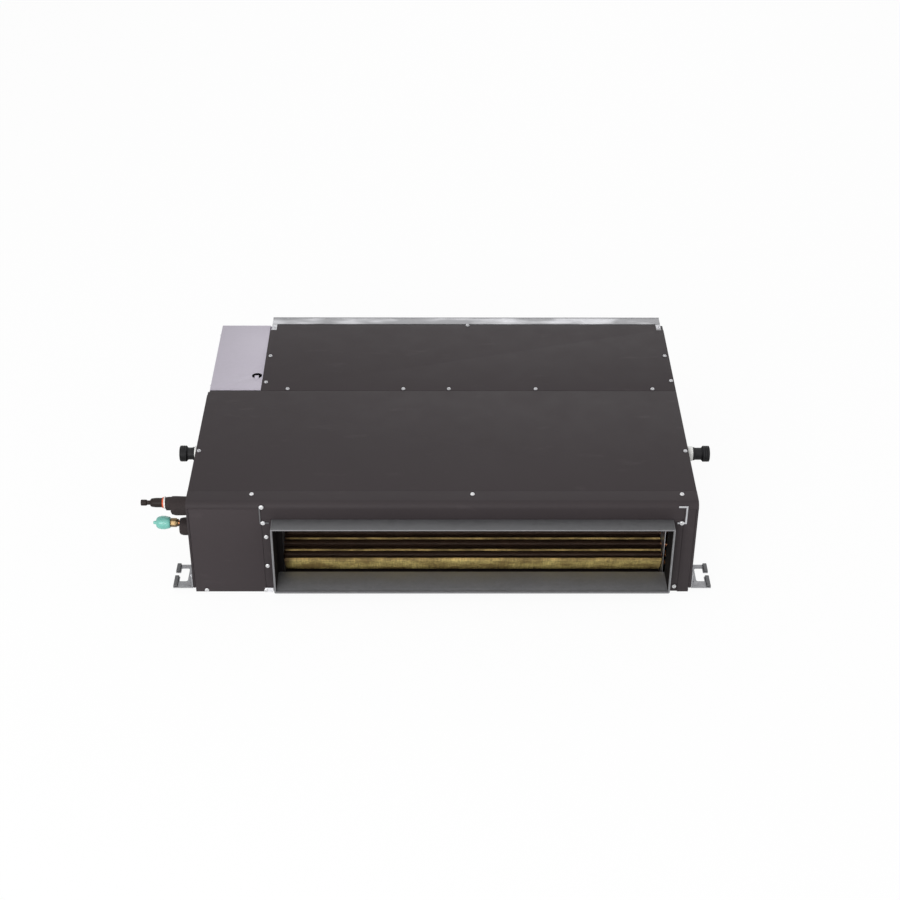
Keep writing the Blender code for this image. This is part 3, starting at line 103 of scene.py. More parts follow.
def colour_property(name, default, description):
    return FloatVectorProperty(name=name, subtype="COLOR", size=3, min=0, max=1, default=default,
                               description=description)


class UnitSizes(bpy.types.PropertyGroup):
    """Sizes of the fine pieces"""
    edge: length_property("Sheet edge", 0.0005, "Rounding along the edges of the sheet pieces")
    panel_edge: length_property("Panel edge", 0.0010, "Rounding along the edges of the foam-faced panels")
    screw_head: length_property("Screw head", 0.0041, "Radius of the case screws' heads")
    fin_pitch: length_property("Fin pitch", 0.0017, "Distance from one fin of the coil to the next")
    fin_thickness: length_property("Fin thickness", 0.00022, "Thickness of one fin")
    tube_passes: count_property("Tube passes", 11, 3, 16, "Tubes in each row of the coil")
    blades: count_property("Blades", 40, 12, 64, "Blades round each blower wheel")
    net_pitch: length_property("Net pitch", 0.0032, "Distance between the threads of the filter net")


class UnitColours(bpy.types.PropertyGroup):
    """Colours of the finishes"""
    charcoal: colour_property("Charcoal", (0.036, 0.0295, 0.0315), "Foam-faced sheet of the case")
    galvanised: colour_property("Galvanised steel", SLOT_COLOURS["galvanised_steel"],
                                "Zinc-coated sheet of the collars and brackets")
    box_steel: colour_property("Box steel", (0.44, 0.41, 0.47), "Zinc-coated sheet of the electrical box")
    dull_steel: colour_property("Dull steel", SLOT_COLOURS["dull_steel"], "Zinc-coated sheet inside the case")
    shaft_steel: colour_property("Shaft steel", SLOT_COLOURS["shaft_steel"],
                                 "Ground steel of the shaft and screws")
    black_plastic: colour_property("Black plastic", SLOT_COLOURS["black_plastic"],
                                   "Moulded housings, wheels and filter frame")
    black_rubber: colour_property("Black rubber", (0.006, 0.006, 0.007), "Moulded plugs and grommet")
    black_foam: colour_property("Black foam", (0.017, 0.012, 0.012), "Insulation round the pipes")
    white_plastic: colour_property("White plastic", SLOT_COLOURS["white_plastic"],
                                   "Drain nozzles and terminal block")
    white_foam: colour_property("White foam", SLOT_COLOURS["white_foam"], "Bead foam of the drain pan")
    copper: colour_property("Copper", (0.62, 0.27, 0.13), "Drawn copper tube")
    brass: colour_property("Brass", (0.16, 0.108, 0.052), "Machined flare nut")
    teal: colour_property("Teal", (0.17, 0.49, 0.42), "Cap on the liquid pipe")
    seal_red: colour_property("Seal red", (0.62, 0.10, 0.03), "Ring at the end of the gas pipe's insulation")
    fin_gold: colour_property("Fin gold", (0.42, 0.30, 0.11), "Gold-coated fin stock")
    # painted shade: the fins are the same gold stock as the strips, coloured dark brown for the shade between
    # the lit rows
    fin_shade: colour_property("Fin shade", (0.058, 0.030, 0.017), "Darker fin stock between the bright rows")
    board: colour_property("Board green", SLOT_COLOURS["green_board"], "Circuit board laminate")
    iron: colour_property("Core iron", SLOT_COLOURS["transformer_iron"], "Laminated core of the transformer")
    floor: colour_property("Floor", (0.92, 0.92, 0.92), "Studio floor")


def sizes():
    return bpy.context.scene.ducted_unit_sizes


def colours():
    return bpy.context.scene.ducted_unit_colours


# Finishes

class Wire:
    """A node's output that can stand in a Python sum, which then adds the Math nodes."""

    def __init__(self, nodes, socket):
        self.nodes = nodes
        self.socket = socket

    def maths(self, operation, first, second, clamp=False):
        return self.nodes.node("ShaderNodeMath", {"operation": operation, "use_clamp": clamp},
                               {0: first, 1: second})

    def __add__(self, other):
        return self.maths("ADD", self, other)

    def __radd__(self, other):
        return self.maths("ADD", other, self)

    def __sub__(self, other):
        return self.maths("SUBTRACT", self, other)

    def __rsub__(self, other):
        return self.maths("SUBTRACT", other, self)

    def __mul__(self, other):
        return self.maths("MULTIPLY", self, other)

    def __rmul__(self, other):
        return self.maths("MULTIPLY", other, self)

    def clamped(self):
        return self.maths("ADD", self, 0.0, clamp=True)


class Nodes:
    """The nodes of one finish, round its Principled shader."""

    def __init__(self, name, **constants):
        self.material = bpy.data.materials.new(name)
        self.material.use_nodes = True
        self.tree = self.material.node_tree
        self.shader = self.tree.nodes["Principled BSDF"]
        for socket, value in constants.items():
            self.shader.inputs[socket.replace("_", " ")].default_value = value
        self.place = self.node("ShaderNodeTexCoord", output="Object")

    def node(self, kind, settings=(), values=(), output=0):
        made = self.tree.nodes.new(kind)
        for key, value in dict(settings).items():
            if key == "stops":
                ramp = made.color_ramp.elements
                while len(ramp) < len(value):
                    ramp.new(1.0)
                for stop, (position, colour) in zip(ramp, value):
                    stop.position = position
                    stop.color = (*colour, 1.0)
            else:
                setattr(made, key, value)
        for key, value in dict(values).items():
            if isinstance(value, Wire):
                self.tree.links.new(value.socket, made.inputs[key])
            else:
                made.inputs[key].default_value = value
        return Wire(self, made.outputs[output])

    def set(self, socket, wire):
        self.tree.links.new(wire.socket, self.shader.inputs[socket])

    def stretched(self, scale):
        return self.node("ShaderNodeVectorMath", {"operation": "MULTIPLY"}, {0: self.place, 1: scale})

    def noise(self, scale, detail=2.0, stretch=None):
        place = self.place if stretch is None else self.stretched(stretch)
        return self.node("ShaderNodeTexNoise", {},
                         {"Vector": place, "Scale": scale, "Detail": detail, "Roughness": 0.55})

    def cells(self, scale, output="Distance", feature="F1"):
        return self.node("ShaderNodeTexVoronoi", {"feature": feature},
                         {"Vector": self.place, "Scale": scale}, output)

    def grey(self, colour):
        return self.node("ShaderNodeSeparateColor", {}, {"Color": colour}, "Red")

    def mix(self, factor, first, second):
        """Blend of two colours, of which the second shows where the factor is 1."""
        def rgba(value):
            return value if isinstance(value, Wire) else (*value[:3], 1.0)
        return self.node("ShaderNodeMix", {"data_type": "RGBA"},
                         {0: factor, 6: rgba(first), 7: rgba(second)}, 2)

    def bump(self, height, strength, distance):
        return self.node("ShaderNodeBump", {},
                         {"Height": height, "Strength": strength, "Distance": distance}, "Normal")

    def along(self, direction):
        return self.node("ShaderNodeVectorMath", {"operation": "DOT_PRODUCT"},
                         {0: self.place, 1: direction}, "Value")


def shade(colour, factor):
    return tuple(min(1.0, channel * factor) for channel in colour)


def mottled(name, colour, roughness, metallic=0.0, contrast=0.12, patch=9.0, grain=420.0,
            dent=0.15, depth=0.0004, spread=0.12, stretch=None, coat=0.0, specular=0.5):
    """A finish with broad patches, a fine grain in its colour and gloss, and a light relief."""
    nodes = Nodes(name, Metallic=metallic, Coat_Weight=coat, Specular_IOR_Level=specular)
    broad = nodes.noise(patch, 3.0)
    fine = nodes.noise(grain, 2.0, stretch)
    tone = (0.65 * broad + 0.35 * fine - 0.5) * 2.4 + 0.5
    light, dark = shade(colour, 1 + contrast), shade(colour, 1 - contrast)
    nodes.set("Base Color", nodes.mix(tone.clamped(), dark, light))
    nodes.set("Roughness", (roughness + (fine - 0.5) * spread + (broad - 0.5) * spread).clamped())
    nodes.set("Normal", nodes.bump(fine, dent, depth))
    return nodes.material


def foam_faced_sheet(name="foam_faced_sheet", tint=1.0):
    """Charcoal sheet with bonded foam: fine pebbled skin, faint scuffs and shallow dents."""
    colour = shade(colours().charcoal, tint)
    nodes = Nodes(name, Specular_IOR_Level=0.14)
    broad = nodes.noise(3.2, 2.0)
    patch = nodes.noise(24.0, 4.0)
    pebble = nodes.cells(950.0)
    scuff = nodes.noise(38.0, 5.0, (0.35, 1.0, 1.0))
    marks = ((scuff - 0.63) * 9.0).clamped() * 0.55
    tone = (broad * 0.55 + patch * 0.3 + pebble * 0.3 - 0.45) * 1.6 + 0.4
    skin = nodes.mix(tone.clamped(), shade(colour, 0.90), shade(colour, 1.10))
    nodes.set("Base Color", nodes.mix(marks, skin, shade(colour, 1.32)))
    nodes.set("Roughness", (0.56 + (patch - 0.5) * 0.16 - marks * 0.08).clamped())
    dents = nodes.noise(11.0, 1.5)
    relief = pebble * 0.09 + patch * 0.35 + dents * 1.6
    nodes.set("Normal", nodes.bump(relief, 0.32, 0.0011))
    return nodes.material


DARK_STEP = 5000         # how sharply the darker zones end, per metre


def zinc_sheet(name, colour, roughness, metallic=1.0, bright=0.22, streaks=0.0,
               dull_above=None, dull_below=0.0):
    """Zinc-coated sheet with its crystal spangle, rolling lines and a few stains.

    It can carry a painted sheen in light bands along it. It can be darker above one height, a
    painted shade on its top face, and darker below another, along its lower rim.
    """
    nodes = Nodes(name, Metallic=metallic)
    flakes = nodes.grey(nodes.cells(170.0, "Color"))
    small = nodes.grey(nodes.cells(520.0, "Color"))
    rolled = nodes.noise(70.0, 3.0, (0.12, 2.2, 2.2))
    stain = nodes.noise(13.0, 4.0)
    tone = flakes * 0.45 + small * 0.2 + rolled * 0.25 + stain * 0.35 - 0.12
    sheet = nodes.mix(tone.clamped(), shade(colour, 1 - bright), shade(colour, 1 + bright))
    if streaks:
        # painted sheen: light bands along the sheet
        painted_sheen = ((nodes.noise(9.0, 2.0, (1.0, 3.0, 3.0)) - 0.50) * 7.0).clamped() * streaks
        sheet = nodes.mix(painted_sheen, sheet, shade(colour, 1.9))
    if dull_above is not None:
        # painted shade on the top face above one height; darker along the lower rim below another
        height = nodes.along((0, 0, 1))
        upper = ((height - dull_above) * DARK_STEP).clamped()
        lower = ((dull_below - height) * DARK_STEP).clamped()
        dull = nodes.mix(tone.clamped(), shade(colour, 0.46), shade(colour, 0.56))
        sheet = nodes.mix((upper + lower).clamped(), sheet, dull)
    nodes.set("Base Color", sheet)
    nodes.set("Roughness", (roughness + (flakes - 0.5) * 0.12 + (stain - 0.5) * 0.22).clamped())
    nodes.set("Normal", nodes.bump(flakes * 0.5 + rolled * 0.5, 0.08, 0.0003))
    return nodes.material


def fin_stock():
    """Coated fins in a painted shade: dark brown for the shade between the bright rows."""
    nodes = Nodes("fin_stock", Metallic=0.25)
    colour = colours().fin_shade
    blotch = nodes.noise(46.0, 5.0, (0.5, 1.0, 1.0))
    speck = nodes.noise(330.0, 2.0)
    tone = (blotch * 0.9 + speck * 0.5 - 0.2).clamped()
    nodes.set("Base Color", nodes.mix(tone, shade(colour, 0.55), shade(colour, 1.7)))
    nodes.set("Roughness", (0.48 + (speck - 0.5) * 0.3).clamped())
    nodes.set("Normal", nodes.bump(blotch * 0.6 + speck * 0.4, 0.2, 0.0004))
    return nodes.material


def fin_strip(name, bright):
    """Mottled gold coating of the fins' folded edges, with a painted shadow towards the coil's left end."""
    nodes = Nodes(name, Metallic=0.2)
    blotch = nodes.noise(34.0, 6.0, (0.7, 1.0, 1.0))
    speck = nodes.noise(240.0, 3.0)
    ribs = nodes.noise(300.0, 1.0, (2.0, 0.1, 0.1))
    worn = ((blotch * 0.7 + speck * 0.3 - 0.42) * 4.5).clamped()
    # painted shadow: the gold fades to the dark fin colour over the coil's left end, which the collar's side
    # shades
    lit = ((nodes.along((1, 0, 0)) - COIL_LEFT) * 55 + 0.15).clamped()
    colour = colours().fin_gold
    # bright scales the gold: painted light, strongest on the strips low on the coil where the front light
    # falls
    gold = nodes.mix(worn, shade(colour, 0.40 * bright), shade(colour, 1.30 * bright))
    shadowed_gold = nodes.mix(lit, colours().fin_shade, gold)
    nodes.set("Base Color", nodes.mix((ribs - 0.35).clamped(), shadowed_gold, colours().fin_shade))
    nodes.set("Roughness", (0.48 + (speck - 0.5) * 0.3).clamped())
    nodes.set("Normal", nodes.bump(ribs * 0.6 + blotch, 0.35, 0.0006))
    return nodes.material


def bead_foam():
    """White bead foam with its round beads showing."""
    nodes = Nodes("bead_foam")
    beads = nodes.cells(260.0)
    broad = nodes.noise(8.0, 3.0)
    colour = colours().white_foam
    tone = (beads * 1.1 + broad * 0.4 - 0.1).clamped()
    nodes.set("Base Color", nodes.mix(tone, colour, shade(colour, 0.84)))
    nodes.set("Roughness", (0.72 + (broad - 0.5) * 0.2).clamped())
    nodes.set("Normal", nodes.bump(1 - beads, 0.4, 0.0008))
    return nodes.material


def pipe_foam():
    """Black closed-cell foam with a brown cast, open pores and pressed dimples."""
    nodes = Nodes("pipe_foam", Specular_IOR_Level=0.3)
    pores = nodes.cells(620.0)
    lumps = nodes.noise(75.0, 4.0)
    colour = colours().black_foam
    tone = (pores * 0.7 + lumps * 0.7 - 0.25).clamped()
    nodes.set("Base Color", nodes.mix(tone, shade(colour, 0.55), shade(colour, 2.3)))
    nodes.set("Roughness", (0.74 + (lumps - 0.5) * 0.25).clamped())
    nodes.set("Normal", nodes.bump(pores * 0.3 + lumps, 0.55, 0.0012))
    return nodes.material


def board_laminate():
    """Green laminate with faint copper tracks under its lacquer."""
    nodes = Nodes("board_laminate", Coat_Weight=0.3)
    tracks = nodes.cells(210.0, feature="DISTANCE_TO_EDGE")
    weave = nodes.noise(900.0, 1.0)
    colour = colours().board
    lines = (1 - tracks * 9.0).clamped()
    base = nodes.mix(lines, colour, shade(colour, 1.9))
    nodes.set("Base Color", nodes.mix(weave * 0.3, base, shade(colour, 0.6)))
    nodes.set("Roughness", (0.34 + weave * 0.12).clamped())
    nodes.set("Normal", nodes.bump(lines, 0.2, 0.0002))
    return nodes.material


def laminated_core():
    """Stack of iron sheets seen on edge."""
    nodes = Nodes("laminated_core", Metallic=0.8)
    sheets = nodes.noise(1400.0, 1.0, (0.02, 1.0, 0.02))
    rust = nodes.noise(60.0, 4.0)
    colour = colours().iron
    tone = (sheets * 0.8 + rust * 0.5 - 0.2).clamped()
    nodes.set("Base Color", nodes.mix(tone, shade(colour, 0.5), shade(colour, 1.5)))
    nodes.set("Roughness", (0.45 + rust * 0.25).clamped())
    nodes.set("Normal", nodes.bump(sheets, 0.3, 0.0003))
    return nodes.material


def zinc(name, tint, *values, colour="galvanised", **options):
    """How to make a zinc finish from one of the unit's colours, lighter or darker by a factor."""
    return lambda: zinc_sheet(name, shade(getattr(colours(), colour), tint), *values, **options)


def plain(name, colour, *values, tint=1.0, **options):
    """How to make a mottled finish from one of the unit's colours."""
    return lambda: mottled(name, shade(getattr(colours(), colour), tint), *values, **options)


LOOKS = {
    "foam_faced_sheet": foam_faced_sheet,
    # painted light: a lighter copy of the case sheet for the front-left panel, where the front light falls
    # more
    "foam_faced_panel": lambda: foam_faced_sheet("foam_faced_panel", 1.20),
    "galvanised": zinc("galvanised", 1.0, 0.34),
    # painted shade on the outlet collar's top face
    "collar_zinc": zinc("collar_zinc", 0.42, 0.52, 0.40, 0.12,
                        dull_above=high("outlet_collar").z - 0.0006,
                        dull_below=low("outlet_collar").z + 0.0012),
    # painted sheen in light bands along the return collar
    "return_zinc": zinc("return_zinc", 0.56, 0.50, 0.55, 0.14, streaks=1.0),
    "tab_zinc": zinc("tab_zinc", 1.55, 0.45, 0.5, 0.10),
    "bracket_zinc": zinc("bracket_zinc", 0.62, 0.50, 0.55, 0.14),
    # painted shade: a darker copy of the galvanised sheet, for the hangers' lips and the left rail tie
    "lip_zinc": zinc("lip_zinc", 0.24, 0.55, 0.5, 0.2),
    # painted shade: a darker copy of the inner sheet, for the left tube sheet in the collar's shadow
    "dark_zinc": zinc("dark_zinc", 0.22, 0.60, 0.4, 0.2, colour="dull_steel"),
    "box_zinc": zinc("box_zinc", 1.0, 0.55, 0.35, 0.06, colour="box_steel"),
    "inner_zinc": zinc("inner_zinc", 1.0, 0.48, colour="dull_steel"),
    # painted light: lighter steel for the screws at the front, where the front light falls
    "bright_steel": lambda: mottled("bright_steel", (0.74, 0.74, 0.75), 0.34, 0.6, contrast=0.10,
                                    grain=900.0, dent=0.05),
    "ground_steel": plain("ground_steel", "shaft_steel", 0.36, 0.9, tint=0.85, contrast=0.14,
                          grain=900.0, dent=0.05, stretch=(0.1, 1.0, 1.0)),
    "moulded_black": plain("moulded_black", "black_plastic", 0.46, contrast=0.22,
                           grain=900.0, dent=0.12, depth=0.0002),
    "moulded_rubber": plain("moulded_rubber", "black_rubber", 0.58, contrast=0.30,
                            grain=700.0, dent=0.2, depth=0.0003, specular=0.28),
    "moulded_white": plain("moulded_white", "white_plastic", 0.36, contrast=0.04,
                           grain=500.0, dent=0.08, depth=0.0002),
    "moulded_teal": plain("moulded_teal", "teal", 0.34, contrast=0.10,
                          grain=500.0, dent=0.12, depth=0.0003, coat=0.2),
    "plug_rubber": lambda: mottled("plug_rubber", (0.013, 0.007, 0.005), 0.50, contrast=0.35,
                                   grain=600.0, dent=0.25, depth=0.0004, specular=0.22),
    "net_thread": plain("net_thread", "black_plastic", 0.55, tint=1.6, contrast=0.25),
    "seal_red": plain("seal_red", "seal_red", 0.40, contrast=0.12, grain=500.0),
    "drawn_copper": plain("drawn_copper", "copper", 0.36, 0.9, contrast=0.20,
                          patch=38.0, grain=260.0, dent=0.1, depth=0.0003, spread=0.2),
    "machined_brass": plain("machined_brass", "brass", 0.32, 0.9, contrast=0.16, patch=60.0,
                            grain=1200.0, dent=0.12, depth=0.0002, spread=0.16, stretch=(4.0, 0.3, 0.3)),
    "fin_stock": fin_stock,
    # brighter copies of one gold finish: painted light, strongest at the coil's foot and low on its face
    "fin_strip": lambda: fin_strip("fin_strip", 1.05),
    "face_strip": lambda: fin_strip("face_strip", 1.5),
    "foot_strip": lambda: fin_strip("foot_strip", 2.1),
    "bead_foam": bead_foam,
    "pipe_foam": pipe_foam,
    # black of painted shade, for the outlet collar's inner sides and the coil's left end
    "lining_foam": lambda: mottled("lining_foam", (0.006, 0.005, 0.005), 0.80, contrast=0.35, grain=500.0,
                                   dent=0.3, specular=0.10),
    "board_laminate": board_laminate,
    "laminated_core": laminated_core,
}


def look(name):
    found = bpy.data.materials.get(name)
    return found if found else LOOKS[name]()


# Mesh making

def flat_turn(axis, along=0.0):
    """Puts (x, y) of a flat drawing on (Y, Z) for X, (X, Z) for Y or (X, Y) for Z."""
    if axis == "X":
        return Matrix(((0, 0, 1, along), (1, 0, 0, 0), (0, 1, 0, 0), (0, 0, 0, 1)))
    if axis == "Y":
        return Matrix(((1, 0, 0, 0), (0, 0, -1, along), (0, 1, 0, 0), (0, 0, 0, 1)))
    return Matrix.Translation((0, 0, along))


class Shape:
    """A piece's mesh, put together from closed shells in the unit's own frame."""

    def __init__(self):
        self.mesh = bmesh.new()

    def take(self, made, turn=None):
        mesh = bpy.data.meshes.new("shell")
        bmesh.ops.recalc_face_normals(made, faces=made.faces)
        made.to_mesh(mesh)
        made.free()
        if turn is not None:
            mesh.transform(turn)
        self.mesh.from_mesh(mesh)
        bpy.data.meshes.remove(mesh)
        return self

    def copies(self, other, turns):
        """Copies of another shape, one for each matrix."""
        mesh = bpy.data.meshes.new("copies")
        other.mesh.to_mesh(mesh)
        for turn in turns:
            spare = mesh.copy()
            spare.transform(turn)
            self.mesh.from_mesh(spare)
            bpy.data.meshes.remove(spare)
        bpy.data.meshes.remove(mesh)
        return self

    def box(self, first, last, edge=0.0):
        made = bmesh.new()
        bmesh.ops.create_cube(made, size=1)
        middle = (Vector(first) + Vector(last)) / 2
        size = Vector(last) - Vector(first)
        for vertex in made.verts:
            vertex.co = middle + Vector([c * s for c, s in zip(vertex.co, size)])
        if edge:
            bmesh.ops.bevel(made, geom=made.edges[:], offset=edge, segments=2, profile=0.5,
                            affect="EDGES", clamp_overlap=True)
        return self.take(made)

    def prism(self, points, axis, start, end, edge=0.0, turn=None):
        """A flat outline with no holes, extruded along an axis."""
        made = bmesh.new()
        flat = flat_turn(axis)
        sign = -1 if axis == "Y" else 1
        ends = [[made.verts.new(flat @ Vector((x, y, sign * z))) for x, y in points] for z in (start, end)]
        made.faces.new(ends[0])
        made.faces.new(ends[1])
        for i in range(len(points)):
            j = (i + 1) % len(points)
            made.faces.new((ends[0][i], ends[0][j], ends[1][j], ends[1][i]))
        bmesh.ops.recalc_face_normals(made, faces=made.faces)
        if edge:
            sharp = [e for e in made.edges if e.calc_face_angle(0) > SHARP_ANGLE]
            bmesh.ops.bevel(made, geom=sharp, offset=edge, segments=2, profile=0.5,
                            affect="EDGES", clamp_overlap=True)
        return self.take(made, turn)

    def outline(self, loops, axis, start, end, edge=0.0):
        """A flat outline with holes, extruded along an axis, its edges rounded."""
        curve = bpy.data.curves.new("outline", "CURVE")
        curve.dimensions = "2D"
        curve.fill_mode = "BOTH"
        curve.extrude = (end - start) / 2 - edge
        curve.bevel_depth = edge
        curve.bevel_resolution = 1
        curve.offset = -edge
        for points in loops:
            spline = curve.splines.new("POLY")
            spline.points.add(len(points) - 1)
            for point, (across, up) in zip(spline.points, points):
                point.co = (across, up, 0, 1)
            spline.use_cyclic_u = True
        return self.from_curve(curve, flat_turn(axis, (start + end) / 2))

    def from_curve(self, curve, turn=None):
        holder = bpy.data.objects.new("curve", curve)
        bpy.context.scene.collection.objects.link(holder)
        bpy.context.view_layer.update()
        graph = bpy.context.evaluated_depsgraph_get()
        mesh = bpy.data.meshes.new_from_object(holder.evaluated_get(graph))
        bpy.data.objects.remove(holder)
        bpy.data.curves.remove(curve)
        made = bmesh.new()
        made.from_mesh(mesh)
        bpy.data.meshes.remove(mesh)
        bmesh.ops.remove_doubles(made, verts=made.verts, dist=SAME_PLACE)
        return self.take(made, turn)

    def turned(self, profile, centre, axis="X", steps=40, closed=False):
        """A piece turned about an axis from (along, radius) points.

        A closed profile runs round the section of a ring, and an open one ends on the axis.
        """
        made = bmesh.new()
        rings = []
        for along, radius in profile:
            if radius == 0:
                rings.append([made.verts.new((0, 0, along))])
                continue
            rings.append([made.verts.new((radius * math.cos(math.tau * i / steps),
                                          radius * math.sin(math.tau * i / steps), along))
                          for i in range(steps)])
        pairs = list(zip(rings, rings[1:]))
        if closed:
            pairs.append((rings[-1], rings[0]))
        for first, second in pairs:
            for i in range(steps):
                j = (i + 1) % steps
                if len(first) == 1 and len(second) == 1:
                    break
                if len(first) == 1:
                    made.faces.new((first[0], second[i], second[j]))
                elif len(second) == 1:
                    made.faces.new((first[i], second[0], first[j]))
                else:
                    made.faces.new((first[i], second[i], second[j], first[j]))
        return self.take(made, Matrix.Translation(centre) @ flat_turn(axis))

    def swept(self, points, radius, sides):
        """A round bar along a line of points."""
        made = bmesh.new()
        points = [Vector(point) for point in points]
        normal = None
        rings = []
        for i, point in enumerate(points):
            before = points[max(i - 1, 0)]
            after = points[min(i + 1, len(points) - 1)]
            forward = (after - before).normalized()
            if normal is None:
                normal = forward.orthogonal().normalized()
            normal = (normal - forward * normal.dot(forward)).normalized()
            side = forward.cross(normal)
            rings.append([made.verts.new(point + (normal * math.cos(a) + side * math.sin(a)) * radius)
                          for a in (math.tau * k / sides for k in range(sides))])
        for first, second in zip(rings, rings[1:]):
            for i in range(sides):
                j = (i + 1) % sides
                made.faces.new((first[i], first[j], second[j], second[i]))
        made.faces.new(rings[0])
        made.faces.new(rings[-1])
        return self.take(made)

    def piece(self, name, finish, slot, body="casing", nodes=()):
        """Turn the shape into a piece that rides on a body and may stand for solids."""
        bmesh.ops.recalc_face_normals(self.mesh, faces=self.mesh.faces)
        for face in self.mesh.faces:
            face.smooth = True
        for edge in self.mesh.edges:
            edge.smooth = len(edge.link_faces) == 2 and edge.calc_face_angle(0) < SMOOTH_ANGLE
        data = bpy.data.meshes.new(name)
        self.mesh.to_mesh(data)
        self.mesh.free()
        data.materials.append(look(finish))
        obj = bpy.data.objects.new(name, data)
        bpy.context.scene.collection.objects.link(obj)
        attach(obj, body)
        if nodes:
            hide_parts(*nodes)
        return obj


SMOOTH_ANGLE = math.radians(34)
SHARP_ANGLE = math.radians(25)
SAME_PLACE = 1e-6        # corners closer than this are one corner
CORNER_STEPS = 4


def circle(centre, radius, steps=32):
    return [(centre[0] + radius * math.cos(math.tau * i / steps),
             centre[1] + radius * math.sin(math.tau * i / steps)) for i in range(steps)]


def rectangle(first, last, corner=0.0):
    """Corners of a rectangle, each rounded where a radius is given."""
    (x0, y0), (x1, y1) = first, last
    if not corner:
        return [(x0, y0), (x1, y0), (x1, y1), (x0, y1)]
    points = []
    for x, y, turn in ((x1 - corner, y0 + corner, -90), (x1 - corner, y1 - corner, 0),
                       (x0 + corner, y1 - corner, 90), (x0 + corner, y0 + corner, 180)):
        for i in range(CORNER_STEPS + 1):
            angle = math.radians(turn + 90 * i / CORNER_STEPS)
            points.append((x + corner * math.cos(angle), y + corner * math.sin(angle)))
    return points


def bent(corners, cutback, steps=10):
    """A line through the corners with each inner corner rounded off."""
    corners = [Vector(corner) for corner in corners]
    points = [corners[0]]
    for before, corner, after in zip(corners, corners[1:], corners[2:]):
        first = corner + (before - corner).normalized() * cutback
        last = corner + (after - corner).normalized() * cutback
        for i in range(steps + 1):
            share = i / steps
            points.append(first.lerp(corner, share).lerp(corner.lerp(last, share), share))
    points.append(corners[-1])
    return points


WELD_REACH = 0.00001
EDGE_ANGLE = math.radians(35)


def keep(node, finish, edge):
    """A solid whose shape is right: it gets its finish and rounded edges."""
    obj = frame["nodes"][node]
    obj.data.materials.clear()
    obj.data.materials.append(look(finish))
    weld = obj.modifiers.new("weld", "WELD")
    weld.merge_threshold = WELD_REACH
    bevel = obj.modifiers.new("edges", "BEVEL")
    bevel.width = edge
    bevel.segments = 2
    bevel.limit_method = "ANGLE"
    bevel.angle_limit = EDGE_ANGLE
    bevel.use_clamp_overlap = True


# Pieces, stage and panel

class UNIT_OT_stage(bpy.types.Operator):
    """Make the floor, the soft studio light, the surroundings and the camera"""
    bl_idname = "ducted_unit.stage"
    bl_label = "Stage"

    def execute(self, context):
        make_floor()
        make_world()
        make_lamps()
        make_camera()
        return {"FINISHED"}


FLOOR_SIZE = 30.0
FLOOR_DROP = 0.0006      # from the unit's lowest face to the floor
WHITE_SHARE = 0.94       # how far the floor shows plain white, which leaves a faint shadow


def seen_plainly(nodes):
    """1 for the rays of the camera, and for those that metal and glass send on."""
    path = nodes.tree.nodes.new("ShaderNodeLightPath")
    rays = [Wire(nodes, path.outputs[name]) for name in
            ("Is Camera Ray", "Is Glossy Ray", "Is Transmission Ray")]
    return (rays[0] + rays[1] + rays[2]).clamped()


def make_floor():
    data = bpy.data.meshes.new("floor")
    half = FLOOR_SIZE / 2
    data.from_pydata([(-half, -half, -FLOOR_DROP), (half, -half, -FLOOR_DROP),
                      (half, half, -FLOOR_DROP), (-half, half, -FLOOR_DROP)], [], [(0, 1, 2, 3)])
    floor = bpy.data.objects.new("floor", data)
    bpy.context.scene.collection.objects.link(floor)
    nodes = Nodes("studio_floor", Roughness=0.9, Specular_IOR_Level=0.1)
    nodes.shader.inputs["Base Color"].default_value = (*colours().floor, 1.0)
    white = nodes.node("ShaderNodeEmission", {}, {"Color": (1, 1, 1, 1), "Strength": 1.0})
    factor = seen_plainly(nodes) * WHITE_SHARE
    mixed = nodes.node("ShaderNodeMixShader", {},
                       {0: factor, 1: Wire(nodes, nodes.shader.outputs[0]), 2: white})
    nodes.tree.links.new(mixed.socket, nodes.tree.nodes["Material Output"].inputs["Surface"])
    data.materials.append(nodes.material)


WORLD_LIGHT = 0.46       # light from all round, while the camera and gloss see plain white


def make_world():
    world = bpy.data.worlds.new("studio")
    bpy.context.scene.world = world
    world.use_nodes = True
    tree = world.node_tree
    background = tree.nodes["Background"]
    background.inputs["Color"].default_value = (1, 1, 1, 1)
    path = tree.nodes.new("ShaderNodeLightPath")
    strength = tree.nodes.new("ShaderNodeMapRange")
    plain = tree.nodes.new("ShaderNodeMath")
    plain.operation = "ADD"
    plain.use_clamp = True
    tree.links.new(path.outputs["Is Camera Ray"], plain.inputs[0])
    tree.links.new(path.outputs["Is Glossy Ray"], plain.inputs[1])
    strength.inputs["To Min"].default_value = WORLD_LIGHT
    strength.inputs["To Max"].default_value = 1.0
    tree.links.new(plain.outputs[0], strength.inputs["Value"])
    tree.links.new(strength.outputs["Result"], background.inputs["Strength"])


# Name, place, width, height, watts
LAMPS = (("lamp_top", (-0.6, -0.5, 3.2), 3.0, 2.4, 26.0),
         ("lamp_front", (-1.2, -3.6, 1.4), 2.4, 1.6, 90.0),
         ("lamp_right", (3.4, -0.6, 1.5), 1.8, 1.8, 16.0),
         ("lamp_rear", (0.4, 3.2, 1.9), 2.4, 1.2, 16.0))
LAMP_AIM = Vector((0.0, 0.0, 0.1))


def make_lamps():
    for name, place, width, height, watts in LAMPS:
        data = bpy.data.lights.new(name, "AREA")
        data.shape = "RECTANGLE"
        data.size = width
        data.size_y = height
        data.energy = watts
        lamp = bpy.data.objects.new(name, data)
        bpy.context.scene.collection.objects.link(lamp)
        lamp.location = place
        lamp.rotation_mode = "QUATERNION"
        lamp.rotation_quaternion = (LAMP_AIM - Vector(place)).to_track_quat("-Z", "Y")


